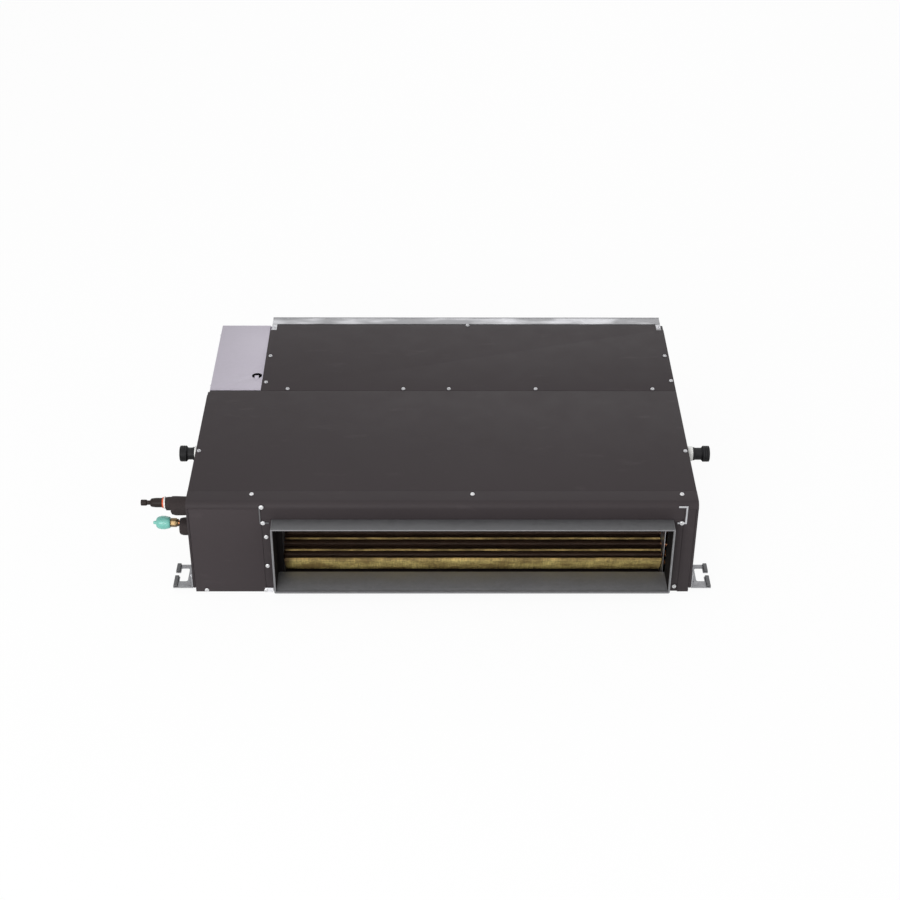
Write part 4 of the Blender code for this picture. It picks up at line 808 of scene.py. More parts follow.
CAMERA_PLACE = (-0.005181, -2.737096, 1.997583)
CAMERA_PITCH = math.radians(34.715)      # below the horizon
CAMERA_YAW = math.radians(0.424)
CAMERA_ROLL = math.radians(0.269)
SENSOR = 36.0
FRAME_WIDTH = 900        # pixels of the frame that the camera is set for
LENS = 1727.943 / FRAME_WIDTH * SENSOR


def make_camera():
    data = bpy.data.cameras.new("camera")
    data.sensor_fit = "HORIZONTAL"
    data.sensor_width = SENSOR
    data.lens = LENS
    data.clip_start = 0.05
    data.clip_end = 60.0
    camera = bpy.data.objects.new("camera", data)
    bpy.context.scene.collection.objects.link(camera)
    forward = Vector((math.sin(CAMERA_YAW) * math.cos(CAMERA_PITCH),
                      math.cos(CAMERA_YAW) * math.cos(CAMERA_PITCH), -math.sin(CAMERA_PITCH)))
    right = Vector((math.cos(CAMERA_YAW), -math.sin(CAMERA_YAW), 0))
    up = right.cross(forward)
    across = right * math.cos(CAMERA_ROLL) + up * math.sin(CAMERA_ROLL)
    upright = up * math.cos(CAMERA_ROLL) - right * math.sin(CAMERA_ROLL)
    turn = Matrix((across, upright, -forward)).transposed().to_4x4()
    camera.matrix_world = Matrix.Translation(CAMERA_PLACE) @ turn
    bpy.context.scene.camera = camera
    bpy.context.scene.view_settings.view_transform = "Standard"


KEPT = {
    "ceiling_tray": "foam_faced_sheet", "fan_deck": "inner_zinc", "fan_side_plate": "inner_zinc",
    "blower_housing_left_lower": "moulded_black", "blower_housing_left_upper": "moulded_black",
    "blower_housing_right_lower": "moulded_black", "blower_housing_right_upper": "moulded_black",
    "motor_bracket": "inner_zinc", "motor_band_left": "galvanised", "motor_band_right": "galvanised",
    "drain_pan": "bead_foam", "pipe_plate": "galvanised", "electrical_box": "box_zinc",
    "circuit_board": "board_laminate", "transformer": "laminated_core", "capacitor": "moulded_black",
    "terminal_block": "moulded_white", "cable_grommet": "moulded_rubber",
}


class UNIT_OT_kept_solids(bpy.types.Operator):
    """Give the solids whose shape is right their finish and rounded edges"""
    bl_idname = "ducted_unit.kept_solids"
    bl_label = "Kept solids"

    def execute(self, context):
        for node, finish in KEPT.items():
            keep(node, finish, sizes().edge)
        return {"FINISHED"}


FRONT_ROUND = 0.012      # radius of the bend between the top face and the front face
BEND_LOW = TOP - FRONT_ROUND
COVER_SKIN = TOP - low("coil_cover").z
COVER_NOTCH = (0.0035, 0.012)    # corner cut out of the coil cover beside the electrical box
COVER_OVERHANG = 0.0045  # how far the fan cover reaches over the electrical box's rim
EAR_NOTCH = 0.0218       # depth of the notches for the return collar's ears
EAR_WIDTH = 0.0103
DROP_CORNER = 0.002      # rounding at the lower corners of the rail's drop


def bend(radius, steps=9):
    """The bend between the top and front faces, from the top down, as (y, z) points."""
    y, z = FRONT + FRONT_ROUND, BEND_LOW
    return [(y - radius * math.sin(math.pi / 2 * i / steps), z + radius * math.cos(math.pi / 2 * i / steps))
            for i in range(steps + 1)]


class UNIT_OT_covers(bpy.types.Operator):
    """Make the coil cover, the fan cover and the front rail"""
    bl_idname = "ducted_unit.covers"
    bl_label = "Covers and front rail"

    def execute(self, context):
        edge = sizes().panel_edge
        bottom = low("coil_cover").z
        first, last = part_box("coil_cover")
        notch_x, notch_y = COVER_NOTCH
        loop = [(first.x, first.y), (last.x, first.y), (last.x, last.y), (first.x + notch_x, last.y),
                (first.x + notch_x, last.y - notch_y), (first.x, last.y - notch_y - notch_x)]
        shape = Shape().outline([loop], "Z", bottom, TOP, edge)
        shape.piece("coil_cover_skin", "foam_faced_sheet", "charcoal_panel", nodes=["coil_cover"])

        first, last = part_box("fan_cover")
        left = first.x - COVER_OVERHANG
        notch = last.y - EAR_NOTCH
        ear_left = low("return_collar").x + EAR_WIDTH
        ear_right = high("return_collar").x - EAR_WIDTH
        loop = [(left, first.y), (last.x, first.y), (last.x, notch), (ear_right, notch),
                (ear_right, last.y), (ear_left, last.y), (ear_left, notch), (left, notch)]
        shape = Shape().outline([loop], "Z", bottom, TOP, edge)
        shape.piece("fan_cover_skin", "foam_faced_sheet", "charcoal_panel", nodes=["fan_cover"])

        first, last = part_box("front_rail")
        loop = [(last.y, TOP)] + bend(FRONT_ROUND) + bend(FRONT_ROUND - COVER_SKIN)[::-1] + [(last.y, bottom)]
        shape = Shape().prism(loop, "X", first.x, last.x)
        drop_left, drop_right = low("outlet_collar").x, high("outlet_collar").x
        drop = [(drop_right, BEND_LOW), (drop_left, BEND_LOW)]
        for x, turn in ((drop_left + DROP_CORNER, 180), (drop_right - DROP_CORNER, 270)):
            for i in range(4):
                angle = math.radians(turn + 30 * i)
                drop.append((x + DROP_CORNER * math.cos(angle),
                             first.z + DROP_CORNER * (1 + math.sin(angle))))
        shape.prism(drop, "Y", FRONT, FRONT + COVER_SKIN)
        shape.piece("front_rail_skin", "foam_faced_sheet", "charcoal_panel", nodes=["front_rail"])
        return {"FINISHED"}


SIDE_SKIN = 0.004
TONGUE_LAP = 0.004       # how far a front panel's tongue runs on behind its face
TONGUE_DEPTH = 0.0023    # from the face back to the tongue
DRAIN_HOLE = 0.0103
LEFT_STRIP = 0.040       # height of the left panel below the electrical box
FLANGE_SHEET = 0.002
FLANGE_START = 0.0223    # from the front face to the flange, behind the bend
FLANGE_SHORT = 0.0043    # what a flange leaves free at its end
REAR_SHEET = 0.0030
FOLD_EDGE = 0.0004
WINDOW_MARGIN = 0.009    # how far the pipe plate overlaps its window on each side


class UNIT_OT_front_and_sides(bpy.types.Operator):
    """Make the panels beside the outlet and the side panels, which follow the front bend"""
    bl_idname = "ducted_unit.front_and_sides"
    bl_label = "Front and side panels"

    def execute(self, context):
        self.make_front("front_left_panel", -1)
        self.make_front("front_right_post", 1)
        self.make_side("left_side_panel", -1)
        self.make_side("right_side_panel", 1)
        return {"FINISHED"}

    def make_front(self, node, side):
        """A panel whose tongue reaches behind the outlet collar's lip."""
        first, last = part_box(node)
        if side < 0:
            seam = low("outlet_collar").x - GAP
            face, tongue = (first.x, seam), (seam - TONGUE_LAP, last.x)
        else:
            seam = high("outlet_collar").x + GAP
            face, tongue = (seam, last.x), (first.x, seam + TONGUE_LAP)
        edge = sizes().edge
        shape = Shape().box((face[0], first.y, first.z), (face[1], last.y, BEND_LOW - GAP), edge)
        shape.box((tongue[0], first.y + TONGUE_DEPTH, first.z),
                  (tongue[1], last.y, high("outlet_collar").z), edge)
        # the front-left panel takes the lighter copy of the case sheet: painted light
        finish = "foam_faced_panel" if side < 0 else "foam_faced_sheet"
        shape.piece(node + "_sheet", finish, "charcoal_panel", nodes=[node])

    def make_side(self, node, side):
        """A panel with a flange folded along its top, and holes for the drain and the pipes."""
        first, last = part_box(node)
        reach = FRONT_ROUND - COVER_SKIN - GAP
        top = BEND_LOW + reach
        step, strip = (high("coil_cover").y, LEFT_STRIP) if side < 0 else (last.y, top)
        loop = [(FRONT, first.z), (last.y, first.z), (last.y, strip)]
        if side < 0:
            loop += [(step, strip), (step, top)]
        loop += bend(reach) + [(FRONT + COVER_SKIN + GAP, BEND_LOW - GAP), (FRONT, BEND_LOW - GAP)]
        loops = [loop, circle((DRAIN.y, DRAIN.z), DRAIN_HOLE, 40)]
        if side < 0:
            plate_low, plate_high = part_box("pipe_plate")
            loops.append(rectangle((plate_low.y + WINDOW_MARGIN, plate_low.z + WINDOW_MARGIN),
                                   (plate_high.y - WINDOW_MARGIN, plate_high.z - WINDOW_MARGIN), 0.003))
        x0, x1 = sorted((side * HALF_W, side * (HALF_W - SIDE_SKIN)))
        shape = Shape().outline(loops, "X", x0, x1, sizes().edge)
        inner = last.x if side < 0 else first.x
        x0, x1 = sorted((side * (HALF_W - FLANGE_SHEET), inner))
        shape.box((x0, FRONT + FLANGE_START, top - FLANGE_SHEET),
                  (x1, step - FLANGE_SHORT * (side > 0), top), FOLD_EDGE)
        if side < 0:
            shape.box((x0, SEAM_Y + FLANGE_SHEET, strip - FLANGE_SHEET),
                      (x1, last.y - FLANGE_SHORT, strip), FOLD_EDGE)
            rear_end = low("return_collar").x - GAP
            shape.box((x0, last.y - REAR_SHEET, first.z), (rear_end, last.y, strip), FOLD_EDGE)
        shape.piece(node + "_sheet", "foam_faced_sheet", "charcoal_panel", nodes=[node])


def screw_shape(head):
    """A flanged pan-head screw with a cross recess, its seat at the origin and its head towards +Z."""
    arm = head * 0.44
    slot = head * 0.11
    cross = [(arm, -slot), (arm, slot), (slot, slot), (slot, arm), (-slot, arm), (-slot, slot),
             (-arm, slot), (-arm, -slot), (-slot, -slot), (-slot, -arm), (slot, -arm), (slot, -slot)]
    shape = Shape()
    shape.turned([(-0.004, 0), (-0.004, head * 0.36), (0, head * 0.36), (0, head), (0.0005, head),
                  (0.0008, head * 0.94), (0.0010, head * 0.80), (0.0010, 0)], (0, 0, 0), "Z", 24)
    shape.outline([circle((0, 0), head * 0.76, 24), cross], "Z", 0.0010, 0.0023, 0.0004)
    return shape


FACING = {"+Z": Matrix.Identity(4),
          "-Y": Matrix.Rotation(math.pi / 2, 4, "X"),
          "+Y": Matrix.Rotation(-math.pi / 2, 4, "X"),
          "+X": Matrix.Rotation(math.pi / 2, 4, "Y"),
          "-X": Matrix.Rotation(-math.pi / 2, 4, "Y")}


def screws(name, spots, nodes=(), seed=3, scale=1.0, finish="ground_steel"):
    """Screws at (x, y, z, facing) spots, each turned by its own angle."""
    draw = random.Random(seed)
    turns = []
    for x, y, z, facing in spots:
        spin = Matrix.Rotation(draw.uniform(0, math.pi), 4, "Z")
        turns.append(Matrix.Translation((x, y, z)) @ FACING[facing] @ spin)
    shape = Shape().copies(screw_shape(sizes().screw_head * scale), turns)
    return shape.piece(name, finish, "shaft_steel", nodes=nodes)


# Places of the screws: (x, y) on the top face, (x, z, inward) on the front and y on the sides
RAIL_SCREWS = ((-0.336, -0.2796), (0.053, -0.2796), (0.4225, -0.2796))
TOP_SCREWS = ((0.4415, 0.185), (0.4440, 0.093), (-0.3400, 0.184), (-0.3410, 0.087), (0.052, 0.3030),
              (-0.4440, -0.146), (0.4440, -0.146))
FRONT_SCREWS = ((-0.312, 0.1266, 0.0), (-0.313, 0.0615, 0.0), (-0.426, 0.0056, 0.0),
                (-0.3186, 0.0055, -0.0006), (0.4202, 0.0125, 0.0023))
SIDE_SCREWS = (-0.262, -0.060, 0.030)
LOW_SIDE_SCREWS = (-0.150, 0.010, 0.120, 0.290)
RIGHT_REAR_SCREWS = (0.150, 0.288)
HIGH_SCREW_Z, LOW_SCREW_Z = 0.187, 0.0165
LID_SCREWS, LID_SCREW_Z = (0.085, 0.275), 0.1915
PLATE_SCREW_IN = 0.008   # from the pipe plate's edges
HANGER_SCREW_IN = 0.012  # from the ends of a bracket's leg
HANGER_SCREW_DROP = 0.0085
BRACKET_SHEET = 0.002
HANGERS = ("front_left", "front_right", "rear_left", "rear_right")


class UNIT_OT_screws(bpy.types.Operator):
    """Make the screws of the covers, the front, the sides, the brackets and the pipe plate"""
    bl_idname = "ducted_unit.screws"
    bl_label = "Screws"

    def execute(self, context):
        nodes = [f"cover_screw_{number}" for number in range(1, 6)]
        spots = []
        for node in nodes:
            middle = (low(node) + high(node)) / 2
            spots.append((middle.x, middle.y, TOP, "+Z"))
        spots += [(x, y, TOP, "+Z") for x, y in TOP_SCREWS]
        screws("seam_screws", spots, nodes=nodes, scale=0.92)
        # the screws at the front take the lighter steel: painted light
        spots = [(x, y, TOP, "+Z") for x, y in RAIL_SCREWS]
        spots += [(x, FRONT + inward, z, "-Y") for x, z, inward in FRONT_SCREWS]
        screws("front_screws", spots, finish="bright_steel", seed=5, scale=0.94)
        spots = []
        for side, facing in ((-1, "-X"), (1, "+X")):
            spots += [(side * HALF_W, y, HIGH_SCREW_Z, facing) for y in SIDE_SCREWS]
            spots += [(side * HALF_W, y, LOW_SCREW_Z, facing) for y in LOW_SIDE_SCREWS]
        spots += [(HALF_W, y, HIGH_SCREW_Z, "+X") for y in RIGHT_REAR_SCREWS]
        spots += [(low("electrical_box_lid").x, y, LID_SCREW_Z, "-X") for y in LID_SCREWS]
        plate_low, plate_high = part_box("pipe_plate")
        for y in (plate_low.y + PLATE_SCREW_IN, plate_high.y - PLATE_SCREW_IN):
            for z in (plate_low.z + PLATE_SCREW_IN, plate_high.z - PLATE_SCREW_IN):
                spots.append((plate_low.x, y, z, "-X"))
        for name in HANGERS:
            first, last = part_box("hanger_" + name)
            side, facing = (-1, "-X") if name.endswith("left") else (1, "+X")
            for y in (first.y + HANGER_SCREW_IN, last.y - HANGER_SCREW_IN):
                spots.append((side * (HALF_W + GAP + BRACKET_SHEET), y, last.z - HANGER_SCREW_DROP, facing))
        screws("case_screws", spots)
        return {"FINISHED"}


TIE_ARM = 0.0165
TIE_ARM_SHORT = 0.0095   # upper arm of the left tie
TIE_ARM_WIDTH = 0.0034
TIE_SPINE = (0.0022, 0.0032)         # left, right
TIE_SCREW_IN = (0.0060, 0.0088)      # left, right
TIE_SCREW_UP = 0.002


class UNIT_OT_rail_ties(bpy.types.Operator):
    """Make the two ties between the front rail and the outlet collar, with their screws"""
    bl_idname = "ducted_unit.rail_ties"
    bl_label = "Rail ties"

    def execute(self, context):
        for name, facing, spine, screw_in in (("left", 1, TIE_SPINE[0], TIE_SCREW_IN[0]),
                                              ("right", -1, TIE_SPINE[1], TIE_SCREW_IN[1])):
            node = "rail_tie_" + name
            first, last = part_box(node)
            back = first.x if facing > 0 else last.x
            tip = back + facing * TIE_ARM
            top_tip = back + facing * (TIE_ARM_SHORT if name == "left" else TIE_ARM)
            inner = back + facing * spine
            arm = TIE_ARM_WIDTH
            loop = [(back, first.z), (tip, first.z), (tip, first.z + arm), (inner, first.z + arm),
                    (inner, last.z - arm), (top_tip, last.z - arm), (top_tip, last.z), (back, last.z)]
            shape = Shape().outline([loop], "Y", first.y, last.y, 0.0004)
            # the left tie takes a darker copy of the right tie's sheet: painted shade
            finish = "lip_zinc" if name == "left" else "galvanised"
            shape.piece(node + "_strip", finish, "galvanised_steel", nodes=[node])
            ends = [(back + facing * screw_in, first.y, first.z + TIE_SCREW_UP, "-Y")]
            if name == "left":
                ends.append((back + facing * (screw_in - 0.0012), first.y, last.z - TIE_SCREW_UP, "-Y"))
            # the tie screws take the lighter front steel: painted light
            screws(node + "_screws", ends, seed=len(name), finish="bright_steel")
        return {"FINISHED"}


COLLAR_WALL = 0.002
HEM = 0.0012
HEM_DEPTH = 0.004
SHADE_LINING = 0.0015          # black sheet of painted shade inside the collar's sides
TAB = ((-0.0195, -0.0006, 0.0012), (-0.0045, 0.0016, 0.0105))     # from the outlet's left and the front
WEB = 0.016


def frame_of(low_corner, high_corner, wall, corner):
    """Outer and inner loop of a rectangular frame."""
    (x0, z0), (x1, z1) = low_corner, high_corner
    return [rectangle((x0, z0), (x1, z1), corner),
            rectangle((x0 + wall, z0 + wall), (x1 - wall, z1 - wall), max(corner - wall, 0))]


class UNIT_OT_outlet_collar(bpy.types.Operator):
    """Make the outlet's duct collar with its side lips, black sheets of painted shade inside, and its tab"""
    bl_idname = "ducted_unit.outlet_collar"
    bl_label = "Outlet collar"

    def execute(self, context):
        first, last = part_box("outlet_collar")
        corners = ((OUTLET_LEFT, first.z), (OUTLET_RIGHT, last.z))
        shape = Shape().outline(frame_of(*corners, COLLAR_WALL, 0.003), "Y", first.y, last.y, 0.0005)
        inner = [(corners[0][0] + COLLAR_WALL, corners[0][1] + COLLAR_WALL),
                 (corners[1][0] - COLLAR_WALL, corners[1][1] - COLLAR_WALL)]
        shape.outline(frame_of(*inner, HEM, 0.001), "Y", first.y + 0.0006, first.y + HEM_DEPTH, 0.0003)
        shape.piece("outlet_collar_sheet", "collar_zinc", "galvanised_steel", nodes=["outlet_collar"])
        lips = Shape()
        for x0, x1 in ((first.x, OUTLET_LEFT - 0.0002), (OUTLET_RIGHT + 0.0002, last.x)):
            lips.box((x0, FRONT, first.z), (x1, FRONT + COLLAR_WALL, last.z), 0.0005)
        lips.piece("outlet_collar_lips", "foam_faced_sheet", "charcoal_panel", nodes=["outlet_collar"])
        # painted shade: black sheets inside the collar's sides, which stay in shadow
        shade_lining = Shape()
        floor, roof = first.z + COLLAR_WALL, last.z - COLLAR_WALL
        for x0, x1 in ((OUTLET_LEFT + COLLAR_WALL, OUTLET_LEFT + COLLAR_WALL + SHADE_LINING),
                       (OUTLET_RIGHT - COLLAR_WALL - SHADE_LINING, OUTLET_RIGHT - COLLAR_WALL)):
            shade_lining.box((x0, first.y + HEM_DEPTH + GAP, floor), (x1, last.y, roof), 0.0004)
        shade_lining.piece("outlet_collar_lining", "lining_foam", "black_foam")
        origin = Vector((OUTLET_LEFT, FRONT, 0))
        tab = Shape().box(origin + Vector(TAB[0]), origin + Vector(TAB[1]), FOLD_EDGE)
        tab.piece("outlet_collar_tab", "tab_zinc", "galvanised_steel", nodes=["outlet_collar"])
        return {"FINISHED"}


class UNIT_OT_return_collar(bpy.types.Operator):
    """Make the return's duct collar with its web and ears"""
    bl_idname = "ducted_unit.return_collar"
    bl_label = "Return collar"

    def execute(self, context):
        first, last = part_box("return_collar")
        start = REAR + GAP
        corners = ((first.x, first.z), (last.x, last.z))
        shape = Shape().outline(frame_of(*corners, COLLAR_WALL, 0.002), "Y", start, last.y, 0.0005)
        shape.outline(frame_of(*corners, WEB, 0.002), "Y", start, start + COLLAR_WALL, 0.0005)
        bottom = low("fan_cover").z
        for x in (first.x, last.x - EAR_WIDTH + GAP):
            shape.box((x, first.y, bottom), (x + EAR_WIDTH - GAP, start + 0.001, last.z), 0.0005)
        shape.piece("return_collar_sheet", "return_zinc", "galvanised_steel", nodes=["return_collar"])
        hem = Shape().box((first.x, last.y - 0.0030, last.z - 0.0006),
                          (last.x, last.y, last.z + 0.0005), FOLD_EDGE)
        hem.piece("return_collar_hem", "bracket_zinc", "galvanised_steel", nodes=["return_collar"])
        spots = [(x + (EAR_WIDTH - GAP) / 2, first.y + 0.008, last.z, "+Z")
                 for x in (first.x, last.x - EAR_WIDTH + GAP)]
        screws("return_collar_screws", spots, seed=11)
        return {"FINISHED"}


NET_THREAD = 0.0005
FILTER_BARS = 5
FILTER_BORDER = 0.011
BAR_HALF = 0.003         # half the width of an upright bar
RIB_HALF = 0.0025        # half the height of the rib across them
TAB_OUTER, TAB_INNER = 0.016, 0.012      # half widths of a pull tab and of its window


class UNIT_OT_air_filter(bpy.types.Operator):
    """Make the filter's frame with its bars and pull tabs, and its woven net"""
    bl_idname = "ducted_unit.air_filter"
    bl_label = "Air filter"

    def execute(self, context):
        first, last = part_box("air_filter")
        border = FILTER_BORDER
        corners = ((first.x, first.z), (last.x, last.z))
        shape = Shape().outline(frame_of(*corners, border, 0.003), "Y", first.y, last.y, 0.0009)
        middle = (first.y + last.y) / 2
        step = (last.x - first.x - border) / (FILTER_BARS + 1)
        for i in range(1, FILTER_BARS + 1):
            x = first.x + border / 2 + i * step
            shape.box((x - BAR_HALF, first.y + 0.001, first.z + border / 2),
                      (x + BAR_HALF, last.y - 0.001, last.z - border / 2), 0.0008)
        height = (first.z + last.z) / 2
        shape.box((first.x + border / 2, middle - 0.003, height - RIB_HALF),
                  (last.x - border / 2, middle + 0.003, height + RIB_HALF), 0.0008)
        tab_edges = ((TAB_OUTER, 0.002, 0.003), (TAB_INNER, 0.0045, 0.001))
        for x in (first.x + 0.2 * (last.x - first.x), first.x + 0.8 * (last.x - first.x)):
            loops = [rectangle((x - half, last.z - border + inset), (x + half, last.z - inset), corner)
                     for half, inset, corner in tab_edges]
            shape.outline(loops, "Y", last.y - 0.001, last.y + 0.004, 0.0006)
        shape.piece("air_filter_frame", "moulded_black", "black_plastic", "filter", ["air_filter"])
        net = Shape()
        pitch = sizes().net_pitch
        half = NET_THREAD / 2
        for axis, across in ((0, 2), (2, 0)):
            reach = last[axis] - first[axis] - border
            count = int(reach / pitch)
            for i in range(1, count):
                at = first[axis] + border / 2 + i * reach / count
                lift = half if axis == 0 else -half
                a, b = Vector(first), Vector(last)
                a[axis], b[axis] = at - half, at + half
                a[across], b[across] = first[across] + border / 2, last[across] - border / 2
                a.y, b.y = middle + lift - half, middle + lift + half
                net.box(a, b)
        net.piece("air_filter_net", "net_thread", "black_plastic", "filter", ["air_filter"])
        return {"FINISHED"}


BLADE_LEAN = math.radians(24)
BLADE_SHEET = 0.0008


def blower_wheel(side):
    """Drum of curved blades on two end rings and a middle disc, with its hub and spokes."""
    node = "blower_wheel_" + side
    first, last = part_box(node)
    middle = (first + last) / 2
    centre = Vector((middle.x, AXIS.y, AXIS.z))
    outer = (last.z - first.z) / 2
    inner = outer - 0.0115
    half = (last.x - first.x) / 2
    shape = Shape()
    for end in (-1, 1):
        ring = [(end * half, inner + 0.004), (end * half, outer - 0.0008), (end * (half - 0.0008), outer),
                (end * (half - 0.0035), outer), (end * (half - 0.0035), inner + 0.004)]
        shape.turned(ring, centre, steps=72, closed=True)
    disc = [(-0.0015, 0.013), (-0.0015, outer - 0.0006), (0, outer), (0.0015, outer - 0.0006),
            (0.0015, 0.013)]
    shape.turned(disc, centre, steps=72, closed=True)
    hub = [(-0.014, 0.0054), (-0.014, 0.0115), (-0.013, 0.0125), (-0.004, 0.0130), (-0.0015, 0.0165),
           (0.0015, 0.0165), (0.004, 0.0130), (0.013, 0.0125), (0.014, 0.0115), (0.014, 0.0054)]
    shape.turned(hub, centre, steps=40, closed=True)
    for spoke in range(6):
        turn = Matrix.Translation(centre) @ Matrix.Rotation(math.tau * spoke / 6, 4, "X")
        rib = [(0.012, -0.0008), (inner, -0.0008), (inner, 0.0008), (0.012, 0.0008)]
        shape.prism(rib, "X", -0.0045, 0.0045, turn=turn)
    arc = []
    for i in range(6):
        share = i / 5
        radius = inner + 0.0005 + (outer - inner - 0.001) * share
        angle = BLADE_LEAN * (share ** 1.7) * 0.55
        arc.append((radius * math.cos(angle), radius * math.sin(angle)))
    back = [(y, z + BLADE_SHEET) for y, z in reversed(arc)]
    count = sizes().blades
    for i in range(count):
        turn = Matrix.Translation(centre) @ Matrix.Rotation(math.tau * i / count, 4, "X")
        shape.prism(arc + back, "X", -half + 0.002, half - 0.002, turn=turn)
    return shape.piece(node + "_drum", "moulded_black", "black_plastic", "fan_rotor", [node])


class UNIT_OT_blowers(bpy.types.Operator):
    """Make the blower wheels, the shaft, and the inlet rings and clips of the housings"""
    bl_idname = "ducted_unit.blowers"
    bl_label = "Blowers"

    def execute(self, context):
        for side in ("left", "right"):
            blower_wheel(side)
        first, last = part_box("motor_shaft")
        radius = (last.z - first.z) / 2
        tip = 0.0008
        shape = Shape().turned([(first.x, 0), (first.x, radius - tip), (first.x + tip, radius),
                                (last.x - tip, radius), (last.x, radius - tip), (last.x, 0)],
                               (0, AXIS.y, AXIS.z), steps=32)
        shape.piece("motor_shaft_rod", "ground_steel", "shaft_steel", "fan_rotor", ["motor_shaft"])
        fittings = Shape()
        for side in ("left", "right"):
            first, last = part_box(f"blower_housing_{side}_lower")
            for x, out in ((first.x, -1), (last.x, 1)):
                ring = [(x, 0.0562), (x, 0.0635), (x + out * 0.0018, 0.0635), (x + out * 0.0034, 0.0610),
                        (x + out * 0.0038, 0.0585), (x + out * 0.0026, 0.0562)]
                fittings.turned(ring, (0, AXIS.y, AXIS.z), steps=72, closed=True)
            for share in (0.12, 0.5, 0.88):
                x = first.x + share * (last.x - first.x)
                fittings.box((x - 0.009, last.y - 0.0008, AXIS.z - 0.009),
                             (x + 0.009, last.y + 0.0032, AXIS.z + 0.009), 0.0009)
                fittings.box((x - 0.005, last.y + 0.0024, AXIS.z - 0.0055),
                             (x + 0.005, last.y + 0.0044, AXIS.z - 0.0015), 0.0006)
        fittings.piece("blower_housing_fittings", "moulded_black", "black_plastic")
        return {"FINISHED"}


class UNIT_OT_motor(bpy.types.Operator):
    """Make the fan motor with its end shields and the ribs on them"""
    bl_idname = "ducted_unit.motor"
    bl_label = "Motor"

    def execute(self, context):
        first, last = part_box("motor")
        radius = (last.z - first.z) / 2
        half = 0.0455
        end = (last.x - first.x) / 2
        bore = 0.0056
        profile = [(-end, bore), (-end, 0.0175), (-end + 0.002, 0.0195), (-half - 0.003, 0.0215),
                   (-half - 0.003, 0.034), (-half, 0.040), (-half, radius - 0.003), (-half + 0.003, radius),
                   (-0.0285, radius), (-0.0275, radius - 0.0012), (-0.0265, radius),
                   (0.0265, radius), (0.0275, radius - 0.0012), (0.0285, radius),
                   (half - 0.003, radius), (half, radius - 0.003), (half, 0.040), (half + 0.003, 0.034),
                   (half + 0.003, 0.0215), (end - 0.002, 0.0195), (end, 0.0175), (end, bore)]
        shape = Shape().turned(profile, AXIS, steps=72, closed=True)
        for side in (-1, 1):
            for i in range(12):
                turn = Matrix.Translation(AXIS) @ Matrix.Rotation(math.tau * i / 12, 4, "X")
                rib = [(0.024, -0.0012), (0.0475, -0.0012), (0.0475, 0.0012), (0.024, 0.0012)]
                x0, x1 = sorted((side * (half - 0.002), side * (half + 0.0035)))
                shape.prism(rib, "X", x0, x1, turn=turn)
        shape.piece("motor_body", "inner_zinc", "dull_steel", nodes=["motor"])
        return {"FINISHED"}


def tube_spots():
    """Centres of the coil's tubes in each of its two rows."""
    count = sizes().tube_passes
    pitch = COIL_LENGTH / count
    rows = []
    for aside in (-0.5, 0.5):
        start = 0.5 + TUBE_ROW_STAGGER * aside
        rows.append([COIL_FOOT + RISE * pitch * (i + start) + ACROSS * COIL_THICK / 2 * aside
                     for i in range(count)])
    return rows


TUBE_RADIUS = 0.0048
TUBE_ROW_STAGGER = 0.4   # share of the pitch that one row stands ahead of the other
COIL_LEFT = low("fin_pack").x
COIL_RIGHT = high("fin_pack").x
SHADE_STRIP_REACH = 0.0010    # how far the black strip of painted shade covers the fins' left end
FOOT_DROP = 0.0055       # how far the foot strip reaches below the fins
BEND_REACH = 0.0155      # how far the return bends stand out
STUB = 0.016             # how far the first and last tube stand out
TUBE_SHEET = 0.0016
SHEET_FLANGE = 0.006     # how far the tube sheets' flanges reach outwards
FIN_WAVES = 8
FIN_SWING = 0.00032
ROW_PLACES = (0.0200, 0.0425, 0.065, 0.0875, 0.110)      # rows of painted highlight, up from the coil's foot


